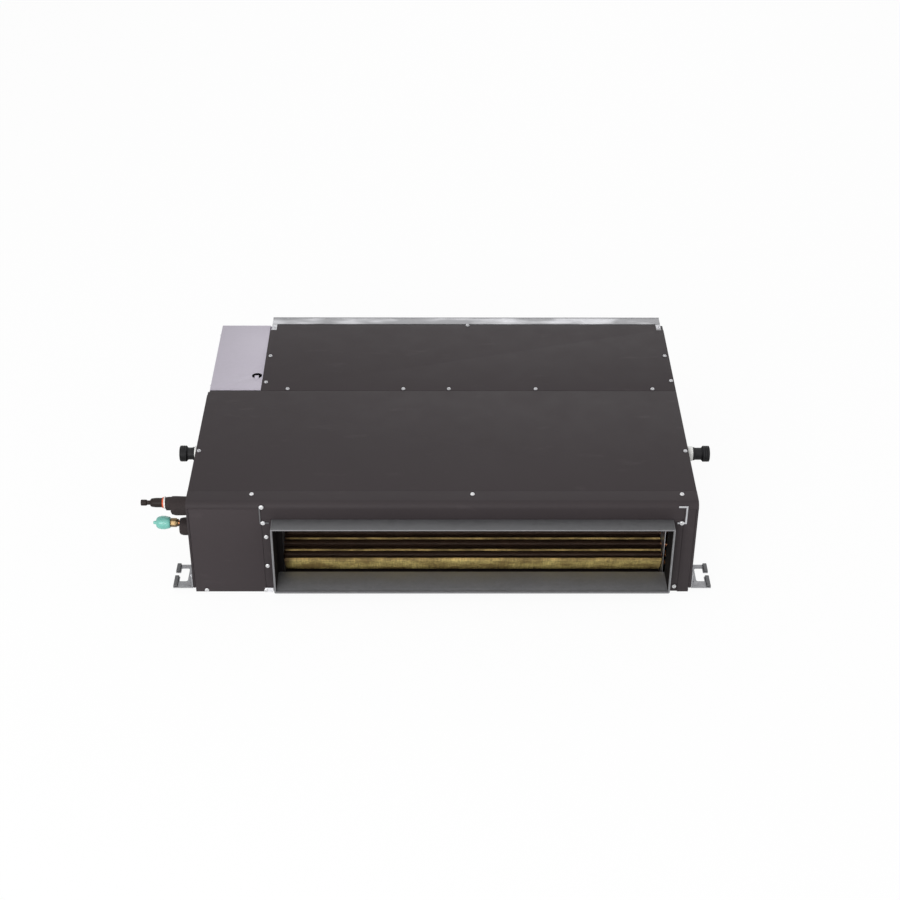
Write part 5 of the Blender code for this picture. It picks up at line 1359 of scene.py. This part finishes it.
class UNIT_OT_coil(bpy.types.Operator):
    """Make the coil's fins, spacer strips, tubes with their return bends, and tube sheets"""
    bl_idname = "ducted_unit.coil"
    bl_label = "Coil"

    def execute(self, context):
        self.make_fins()
        self.make_strips()
        self.make_tubes()
        self.make_sheets()
        return {"FINISHED"}

    def make_fins(self):
        pitch, sheet = sizes().fin_pitch, sizes().fin_thickness
        count = int((COIL_RIGHT - COIL_LEFT - sheet) / pitch)
        waves = FIN_WAVES
        near, far = [], []
        for i in range(waves + 1):
            across = COIL_THICK * (i / waves - 0.5)
            swing = FIN_SWING if i % 2 else -FIN_SWING
            near.append((swing, across))
            far.append((swing + sheet, across))
        loop = near + far[::-1]
        shape = bmesh.new()
        for i in range(count + 1):
            x = COIL_LEFT + 0.0006 + i * (COIL_RIGHT - COIL_LEFT - 0.0012 - sheet) / count
            ends = [[shape.verts.new(COIL_FOOT + Vector((x + dx, 0, 0)) + ACROSS * da + RISE * reach)
                     for dx, da in loop] for reach in (0, COIL_LENGTH)]
            for k in range(2 * waves + 2):
                m = (k + 1) % (2 * waves + 2)
                shape.faces.new((ends[0][k], ends[0][m], ends[1][m], ends[1][k]))
            for end in ends:
                for k in range(waves):
                    shape.faces.new((end[k], end[k + 1], end[-k - 2], end[-k - 1]))
        Shape().take(shape).piece("coil_fins", "fin_stock", "gold_fins", nodes=["fin_pack"])

    def make_strips(self):
        """Strips of the fins' folded edges, placed as painted highlights where the edges catch the light: at
        the coil's foot, low on its face and at each bright row.
        """
        turn = Matrix((Vector((1, 0, 0)), RISE, ACROSS)).transposed().to_4x4()
        turn = Matrix.Translation(COIL_FOOT) @ turn
        half = COIL_THICK / 2
        draw = random.Random(8)
        foot = [(0.0, -half - FOOT_DROP, half + 0.0002, 0.0006)]
        face = [(0.0020, half - 0.0008, half + 0.0006, 0.0022)]
        rows = [(reach, half - 0.0008, half + 0.0006, 0.0016) for reach in ROW_PLACES]
        for name, bands in (("foot", foot), ("face", face), ("fin", rows)):
            shape = Shape()
            self.add_strips(shape, bands, turn, draw)
            shape.piece(f"coil_{name}_strips", name + "_strip", "gold_fins", nodes=["fin_pack"])

    def add_strips(self, shape, bands, turn, draw):
        """Short strips end to end along each (reach, across, across, half width) band."""
        for reach, across0, across1, width in bands:
            x = COIL_LEFT + 0.001
            while x < COIL_RIGHT - 0.012:
                length = min(draw.uniform(0.018, 0.060), COIL_RIGHT - 0.001 - x)
                lift = draw.uniform(0, 0.0003)
                made = bmesh.new()
                bmesh.ops.create_cube(made, size=1)
                for vertex in made.verts:
                    vertex.co = Vector((x + (vertex.co.x + 0.5) * length,
                                        reach - width + (vertex.co.y + 0.5) * 2 * width + lift,
                                        across0 + (vertex.co.z + 0.5) * (across1 - across0) + lift))
                bmesh.ops.bevel(made, geom=made.edges[:], offset=0.00018, segments=1, affect="EDGES",
                                clamp_overlap=True)
                shape.take(made, turn)
                x += length + 0.0002

    def make_tubes(self):
        shape = Shape()
        rows = tube_spots()
        order = rows[0] + rows[1][::-1]
        left, right = COIL_LEFT - 0.004, COIL_RIGHT + 0.004
        points = [Vector((COIL_LEFT - STUB, order[0].y, order[0].z))]
        for i, (first, second) in enumerate(zip(order, order[1:])):
            x, outward = (right, 1) if i % 2 == 0 else (left, -1)
            middle, half = (first + second) / 2, (first - second) / 2
            for step in range(13):
                angle = math.pi * step / 12
                spot = middle + half * math.cos(angle)
                points.append(Vector((x + outward * BEND_REACH * math.sin(angle), spot.y, spot.z)))
        points.append(Vector((COIL_LEFT - STUB, order[-1].y, order[-1].z)))
        shape.swept(points, TUBE_RADIUS, 16)
        for spot in order:
            for x in (COIL_LEFT - 0.0033, COIL_RIGHT + 0.0023):
                flare = [(x, TUBE_RADIUS - 0.0004), (x, TUBE_RADIUS + 0.0011),
                         (x + 0.001, TUBE_RADIUS + 0.0009), (x + 0.001, TUBE_RADIUS - 0.0004)]
                shape.turned(flare, (0, spot.y, spot.z), steps=20, closed=True)
        shape.piece("coil_tubes", "drawn_copper", "copper", nodes=["coil_tube"])
        # the fin collars take the fins' painted shade
        collars = Shape()
        near, far = TUBE_RADIUS + 0.0002, TUBE_RADIUS + 0.0005
        for spot in order:
            loop = [(COIL_LEFT + GAP, near), (COIL_LEFT + GAP, far), (COIL_RIGHT - GAP, far),
                    (COIL_RIGHT - GAP, near)]
            collars.turned(loop, (0, spot.y, spot.z), steps=20, closed=True)
        collars.piece("coil_fin_collars", "fin_stock", "gold_fins", nodes=["fin_pack"])

    def make_sheets(self):
        holes = [circle((spot.y, spot.z), TUBE_RADIUS + 0.0004, 20) for row in tube_spots() for spot in row]
        # the left tube sheet takes a painted shade; the right one is plain galvanised
        for side, finish in (("left", "dark_zinc"), ("right", "galvanised")):
            node = "tube_sheet_" + side
            first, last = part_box(node)
            loop = rectangle((first.y, first.z), (last.y, last.z), 0.004)
            shape = Shape().outline([loop] + holes, "X", first.x, last.x, 0.0003)
            root, out = (first.x, -1) if side == "left" else (last.x, 1)
            x0, x1 = sorted((root, root + out * SHEET_FLANGE))
            shape.box((x0, first.y, last.z - TUBE_SHEET), (x1, last.y, last.z), 0.0003)
            shape.box((x0, last.y - TUBE_SHEET, first.z), (x1, last.y, last.z), 0.0003)
            shape.piece(node + "_plate", finish, "galvanised_steel", nodes=[node])
        # painted shade: a black strip behind the collar's left side, for the shadow over the fins' left end
        shade_strip = Shape()
        rear = high("outlet_collar").y
        shade_strip.box((OUTLET_LEFT - 0.0005, rear + 0.0003, low("outlet_collar").z + 0.001),
                   (COIL_LEFT + SHADE_STRIP_REACH, rear + 0.0018, high("outlet_collar").z - 0.001), 0.0005)
        shade_strip.piece("coil_end_baffle", "lining_foam", "black_foam")


class UNIT_OT_drain(bpy.types.Operator):
    """Make the drain nozzles and their rubber plugs"""
    bl_idname = "ducted_unit.drain"
    bl_label = "Drain nozzles and plugs"

    def execute(self, context):
        for name, side in (("left", -1), ("right", 1)):
            self.make_nozzle(name, side)
            self.make_plug(name, side)
        return {"FINISHED"}

    def make_nozzle(self, name, side):
        node = "drain_nozzle_" + name
        first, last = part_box(node)
        start, end = sorted((abs(first.x), abs(last.x)))
        collar = HALF_W + GAP
        rim = min(abs(corner.x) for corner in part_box("drain_plug_" + name)) - GAP
        bore, outer = 0.0080, 0.0100
        profile = [(start, bore), (end - 0.0008, bore), (end, bore + 0.0008), (end, outer - 0.0008),
                   (end - 0.0012, outer), (rim, outer), (rim, 0.0130), (rim - 0.0008, 0.0135),
                   (collar + 0.0008, 0.0135), (collar, 0.0130), (collar, outer), (start, outer)]
        shape = Shape().turned([(side * x, r) for x, r in profile], (0, DRAIN.y, DRAIN.z), steps=48,
                               closed=True)
        half = 0.0120
        x0, x1 = sorted((side * start, side * (start + 0.008)))
        loops = [rectangle((DRAIN.y - half, DRAIN.z - half), (DRAIN.y + half, DRAIN.z + half), 0.002),
                 circle((DRAIN.y, DRAIN.z), outer - 0.0005, 40)]
        shape.outline(loops, "X", x0, x1, 0.0005)
        shape.piece(node + "_spout", "moulded_white", "white_plastic", nodes=[node])

    def make_plug(self, name, side):
        node = "drain_plug_" + name
        first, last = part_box(node)
        near, far = sorted((abs(first.x), abs(last.x)))
        head = far - 0.0130
        floor = max(abs(corner.x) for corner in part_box("drain_nozzle_" + name)) + GAP
        skirt, bore, top = 0.0112, 0.0103, 0.0148
        profile = [(near, bore), (near, skirt + 0.0004), (near + 0.0005, skirt + 0.0009),
                   (near + 0.0032, skirt + 0.0009), (near + 0.0042, skirt), (head - 0.0022, skirt),
                   (head - 0.0006, skirt + 0.0014), (head, top - 0.0011), (head + 0.0011, top)]
        grooves = 3
        step = (far - head - 0.0026) / grooves
        for i in range(grooves):
            x = head + 0.0012 + i * step
            profile += [(x + step * 0.60, top), (x + step * 0.72, top - 0.0009),
                        (x + step * 0.88, top - 0.0009), (x + step, top)]
        profile += [(far - 0.0006, top - 0.0006), (far, top - 0.0020), (far, 0.0080), (far - 0.0016, 0.0066),
                    (far - 0.0016, 0)]
        inside = [(floor, 0), (floor, bore)]
        loop = [(side * x, r) for x, r in inside + profile]
        shape = Shape().turned(loop, (0, DRAIN.y, DRAIN.z), steps=48)
        shape.piece(node + "_rubber", "moulded_rubber", "black_rubber", f"{name}_plug", [node])


GAS_COPPER = 0.0066
GAS_END = -0.5232
GAS_PLUG_PLAY = 0.0008
LIQUID_COPPER = 0.0045
NUT_COVER = 0.013        # how far the nut reaches over the liquid pipe's end
PIPE_BEND = 0.016
SLEEVE_STEPS = 40
OUT_OF_ROUND = 0.018
NUT_RADIUS = 0.0085


class UNIT_OT_pipes(bpy.types.Operator):
    """Make the gas and liquid pipes with their insulation, plug, nut and cap"""
    bl_idname = "ducted_unit.pipes"
    bl_label = "Refrigerant pipes"

    def execute(self, context):
        rows = tube_spots()
        self.make_pipe("gas_pipe", rows[1][0], 0.018, GAS_Z, GAS_COPPER, GAS_END)
        self.make_pipe("liquid_pipe", rows[0][0], 0.040, LIQUID_Z, LIQUID_COPPER,
                       high("flare_nut").x - NUT_COVER)
        self.make_gas_end()
        self.make_liquid_end()
        self.make_insulation()
        return {"FINISHED"}

    def make_pipe(self, node, spot, run, z, radius, end_x):
        """A pipe from a tube of the coil, straight for the run's length, then across to the sleeve."""
        first = COIL_LEFT - STUB - GAP
        top_x = first - 2 * run - (z - spot.z) * 0.25
        corners = [(first, spot.y, spot.z), (first - run, spot.y, spot.z), (top_x, PIPE_Y, z),
                   (end_x, PIPE_Y, z)]
        points = bent(corners, PIPE_BEND)
        shape = Shape().swept(points, radius, 28)
        shape.piece(node + "_tube", "drawn_copper", "copper", nodes=[node])

    def make_gas_end(self):
        """Rubber plug over the pipe's end: a knob on a thin neck, and a wide barrel."""
        mouth, floor, tip = -0.5042, -0.5240, -0.5430
        bore = GAS_COPPER + GAS_PLUG_PLAY
        wide, neck, knob = 0.0086, 0.0040, 0.0055
        profile = [(floor, 0), (floor, bore), (mouth, bore), (mouth, wide - 0.0008), (mouth - 0.0008, wide),
                   (mouth - 0.0110, wide), (mouth - 0.0180, wide - 0.0007), (floor - 0.0006, wide - 0.0016),
                   (floor - 0.0016, wide - 0.0030), (floor - 0.0022, neck + 0.0004), (floor - 0.0030, neck),
                   (tip + 0.0116, neck), (tip + 0.0110, knob - 0.0010), (tip + 0.0102, knob - 0.0002),
                   (tip + 0.0092, knob), (tip + 0.0012, knob), (tip + 0.0002, knob - 0.0008),
                   (tip, knob - 0.0018), (tip, 0)]
        shape = Shape().turned(profile, (0, PIPE_Y, GAS_Z), steps=40)
        shape.piece("gas_plug_rubber", "plug_rubber", "black_rubber", "gas_seal", ["gas_plug"])
        ring = Shape()
        ring.turned([(-0.5012, GAS_COPPER), (-0.5012, 0.0094), (-0.5018, 0.0101), (-0.5034, 0.0101),
                     (-0.5040, 0.0094), (-0.5040, GAS_COPPER)], (0, PIPE_Y, GAS_Z), steps=40, closed=True)
        ring.piece("gas_pipe_seal", "seal_red", "copper")
        band = Shape()
        band.turned([(-0.4983, GAS_COPPER), (-0.4983, 0.0106), (-0.4988, 0.0112), (-0.5004, 0.0112),
                     (-0.5009, 0.0106), (-0.5009, GAS_COPPER)], (0, PIPE_Y, GAS_Z), steps=40, closed=True)
        band.piece("gas_pipe_washer", "moulded_white", "white_plastic")

    def make_liquid_end(self):
        first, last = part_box("flare_nut")
        near, far = last.x, high("liquid_cap").x - GAP
        hexagon = circle((PIPE_Y, LIQUID_Z), NUT_RADIUS, 6)
        shape = Shape().prism(hexagon, "X", far + 0.0008, near - 0.0036, 0.0006)
        shape.turned([(near, 0.0048), (near, 0.0062), (near - 0.0012, 0.0070), (near - 0.0040, 0.0072),
                      (near - 0.0040, 0.0048)], (0, PIPE_Y, LIQUID_Z), steps=36, closed=True)
        thread = [(far + 0.0012, 0.0046), (far + 0.0012, 0.0062)]
        x = far
        while x > first.x + 0.0014:
            thread += [(x, 0.0056), (x - 0.0006, 0.0061), (x - 0.0012, 0.0056)]
            x -= 0.00125
        thread += [(first.x, 0.0052), (first.x, 0.0046)]
        shape.turned(thread, (0, PIPE_Y, LIQUID_Z), steps=36, closed=True)
        shape.piece("flare_nut_brass", "machined_brass", "brass", nodes=["flare_nut"])

        first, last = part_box("liquid_cap")
        big, bore = 0.0118, 0.0066
        tip, mouth = first.x, last.x
        inner = low("flare_nut").x - GAP
        profile = [(inner, 0), (inner, bore), (mouth, bore), (mouth, 0.0094), (mouth - 0.0008, 0.0103),
                   (mouth - 0.0030, 0.0109), (mouth - 0.0062, 0.0116), (mouth - 0.0090, big),
                   (mouth - 0.0165, big), (mouth - 0.0200, 0.0113), (mouth - 0.0228, 0.0101),
                   (mouth - 0.0247, 0.0082), (mouth - 0.0257, 0.0058), (mouth - 0.0260, 0.0034),
                   (tip + 0.0010, 0.0029), (tip, 0.0020), (tip, 0)]
        shape = Shape().turned(profile, (0, PIPE_Y, LIQUID_Z), steps=44)
        for i in range(14):
            turn = Matrix.Translation((0, PIPE_Y, LIQUID_Z)) @ Matrix.Rotation(math.tau * i / 14, 4, "X")
            rib = [(big - 0.0008, -0.0007), (big + 0.0004, -0.0005), (big + 0.0004, 0.0005),
                   (big - 0.0008, 0.0007)]
            shape.prism(rib, "X", mouth - 0.0170, mouth - 0.0085, 0.0002, turn)
        shape.piece("liquid_cap_moulded", "moulded_teal", "teal_plastic", "liquid_seal", ["liquid_cap"])

    def make_insulation(self):
        """Foam sleeves round both pipes, soft at their ends and a little out of round."""
        inner = low("pipe_plate").x - GAP
        for node, z, bore, rings in (
                ("gas_sleeve", GAS_Z, 0.0086,
                 [(0, 0.0118, -0.0024), (0.012, 0.0120, -0.0024), (0.030, 0.0122, -0.0024),
                  (0.040, 0.0123, -0.0024), (0.0448, 0.0120, -0.0023), (0.0458, 0.0110, -0.0012)]),
                ("gas_foam_block", GAS_Z, 0.0088,
                 [(0, 0.0164, -0.0064), (0.003, 0.0171, -0.0070), (0.014, 0.0174, -0.0072),
                  (0.028, 0.0172, -0.0070), (0.0345, 0.0166, -0.0064), (0.0362, 0.0152, -0.0050)]),
                ("liquid_sleeve", LIQUID_Z, 0.0050,
                 [(0, 0.0144, -0.0085), (0.003, 0.0160, -0.0085), (0.012, 0.0166, -0.0085),
                  (0.019, 0.0161, -0.0084), (0.0232, 0.0149, -0.0082), (0.0244, 0.0140, -0.0080)])):
            self.make_sleeve(node, z, bore, rings, inner)

    def make_sleeve(self, node, z, bore, rings, inner):
        """A sleeve from (along, radius, sag) rings."""
        steps = SLEEVE_STEPS
        draw = random.Random(len(node))
        made = bmesh.new()
        loops = []
        for along, radius, sag in rings:
            phase, lobes = draw.uniform(0, math.tau), draw.randint(2, 5)
            loop = []
            for i in range(steps):
                angle = math.tau * i / steps
                reach = radius * (1 + OUT_OF_ROUND * math.sin(lobes * angle + phase))
                loop.append(made.verts.new((inner - along, PIPE_Y + reach * math.cos(angle),
                                            z + sag + reach * math.sin(angle))))
            loops.append(loop)
        for along in (rings[-1][0] - 0.0012, 0):
            loops.append([made.verts.new((inner - along, y, height))
                          for y, height in circle((PIPE_Y, z), bore, steps)])
        for first, second in zip(loops, loops[1:] + loops[:1]):
            for i in range(steps):
                j = (i + 1) % steps
                made.faces.new((first[i], first[j], second[j], second[i]))
        Shape().take(made).piece(node + "_foam", "pipe_foam", "black_foam", nodes=[node])


LID_SHORT = 0.0026       # what the lid leaves free beside the fan cover
LID_SHEET = 0.0015
LID_HOLE = 0.0098
LID_HOLE_IN = (0.0142, 0.0532)       # from the lid's right and front edges


class UNIT_OT_box_lid(bpy.types.Operator):
    """Make the electrical box's lid with its punched hole and bent tab"""
    bl_idname = "ducted_unit.box_lid"
    bl_label = "Electrical box lid"

    def execute(self, context):
        first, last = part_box("electrical_box_lid")
        sheet = LID_SHEET
        top = low("fan_cover").z + 0.002
        x, y = last.x - LID_HOLE_IN[0], first.y + LID_HOLE_IN[1]
        half = LID_HOLE
        hole = circle((x, y), half)
        right = last.x - LID_SHORT
        shape = Shape().outline([rectangle((first.x, first.y), (right, last.y)), hole],
                                "Z", top - sheet, top, 0.0004)
        shape.box((first.x, first.y, first.z), (first.x + sheet, last.y, top - 0.0004), 0.0004)
        shape.box((first.x + 0.001, first.y, top - 0.0002),
                  (right - 0.0005, first.y + 0.0035, top + 0.0006), 0.0003)
        tab = [(y - half - 0.0015, top - 0.0008), (y - half + 0.0060, top + 0.0020),
               (y - half + 0.0060, top + 0.0030), (y - half - 0.0015, top + 0.0002)]
        shape.prism(tab, "X", x - 0.0040, x + 0.0040, 0.0003)
        shape.piece("electrical_box_lid_sheet", "box_zinc", "galvanised_steel", nodes=["electrical_box_lid"])
        return {"FINISHED"}


SHELF_REACH = 0.036      # from the leg's inner face to the shelf's tip
SLOT_IN, SLOT_OUT = 0.024, 0.009     # the slot's edges, back from the tip
SLOT_HALF, MOUTH_HALF = 0.019, 0.006
SLOT_CORNER = 0.004
SHELF_SHORT = 0.008      # how far a bracket's shelf stops before the rear end of its leg
LEG_CORNER = 0.004


class UNIT_OT_hangers(bpy.types.Operator):
    """Make the four slotted hanging brackets"""
    bl_idname = "ducted_unit.hangers"
    bl_label = "Hanging brackets"

    def execute(self, context):
        for name in HANGERS:
            node = "hanger_" + name
            first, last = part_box(node)
            side = -1 if name.endswith("left") else 1
            y = (first.y + last.y) / 2
            self.make_bracket(node, side, y, last.z, (last.y - first.y) / 2)
        return {"FINISHED"}

    def make_bracket(self, node, side, y, top, half):
        root = HALF_W + GAP
        tip = low("hanger_front_right").x + SHELF_REACH
        shelf_low = low("hanger_front_right").z
        shelf = shelf_low + BRACKET_SHEET
        slot_in, slot_out = tip - SLOT_IN, tip - SLOT_OUT
        mouth, wide, round_in = MOUTH_HALF, SLOT_HALF, SLOT_CORNER
        far = y + half - SHELF_SHORT
        inside = []
        for middle, start in ((y - wide + round_in, 270), (y + wide - round_in, 180)):
            for i in range(6):
                angle = math.radians(start - 18 * i)
                inside.append((slot_in + round_in * (1 + math.cos(angle)),
                               middle + round_in * math.sin(angle)))
        loop = [(root, y - half), (tip, y - half), (tip, y - mouth), (slot_out, y - mouth),
                (slot_out, y - wide + 0.001), (slot_out - 0.001, y - wide)] + inside + \
               [(slot_out - 0.001, y + wide), (slot_out, y + wide - 0.001), (slot_out, y + mouth),
                (tip, y + mouth), (tip, far), (root, far)]
        mirror = Matrix.Diagonal((side, 1, 1, 1))
        made = Shape().outline([loop], "Z", shelf_low, shelf, 0.0004)
        lips = Shape()
        for y0, y1 in ((y - half, y - mouth), (y + mouth, far)):
            roll = [(tip - back, shelf + up) for back, up in
                    ((0.0078, -0.0004), (0.0004, -0.0004), (0.0, 0.0002), (0.0, 0.0028), (0.0008, 0.0036),
                     (0.0066, 0.0036), (0.0074, 0.0031), (0.0074, 0.0024), (0.0020, 0.0024),
                     (0.0020, 0.0010), (0.0078, 0.0010))]
            lips.prism(roll, "Y", y0 + 0.0004, y1 - 0.0004, 0.0002)
        leg = [rectangle((y - half, shelf_low), (y + half, top), LEG_CORNER)]
        made.outline(leg, "X", root, root + BRACKET_SHEET, 0.0004)
        gusset = [(root + 0.0015, shelf - 0.0005), (root + 0.0075, shelf - 0.0005),
                  (root + 0.0015, shelf + 0.0095)]
        for gy in (y - half * 0.52, y + half * 0.52):
            made.prism(gusset, "Y", gy - 0.0012, gy + 0.0012, 0.0003)
        shape = Shape().copies(made, [mirror])
        made.mesh.free()
        shape.piece(node + "_sheet", "bracket_zinc", "galvanised_steel", nodes=[node])
        # the bracket's lips take a painted shade
        ends = Shape().copies(lips, [mirror])
        lips.mesh.free()
        ends.piece(node + "_lips", "lip_zinc", "galvanised_steel", nodes=[node])


PIECES = (UNIT_OT_stage, UNIT_OT_kept_solids, UNIT_OT_covers, UNIT_OT_front_and_sides, UNIT_OT_screws,
          UNIT_OT_rail_ties, UNIT_OT_outlet_collar, UNIT_OT_return_collar, UNIT_OT_air_filter,
          UNIT_OT_blowers, UNIT_OT_motor, UNIT_OT_coil, UNIT_OT_drain, UNIT_OT_pipes, UNIT_OT_box_lid,
          UNIT_OT_hangers)


class UNIT_PT_pieces(bpy.types.Panel):
    """Lists the sizes, the colours and the pieces"""
    bl_idname = "UNIT_PT_pieces"
    bl_label = "Ducted unit"
    bl_space_type = "VIEW_3D"
    bl_region_type = "UI"
    bl_category = "Ducted unit"

    def draw(self, context):
        for group in (context.scene.ducted_unit_sizes, context.scene.ducted_unit_colours):
            box = self.layout.box()
            for name in group.__annotations__:
                box.prop(group, name)
        for operator in PIECES:
            self.layout.operator(operator.bl_idname)


CLASSES = (UnitSizes, UnitColours, *PIECES, UNIT_PT_pieces)


def register():
    for item in CLASSES:
        bpy.utils.register_class(item)
    bpy.types.Scene.ducted_unit_sizes = PointerProperty(type=UnitSizes)
    bpy.types.Scene.ducted_unit_colours = PointerProperty(type=UnitColours)


def unregister():
    del bpy.types.Scene.ducted_unit_colours
    del bpy.types.Scene.ducted_unit_sizes
    for item in reversed(CLASSES):
        bpy.utils.unregister_class(item)


def main():
    register()
    for operator in PIECES:
        group, name = operator.bl_idname.split(".")
        getattr(getattr(bpy.ops, group), name)()


if __name__ == "__main__":
    main()
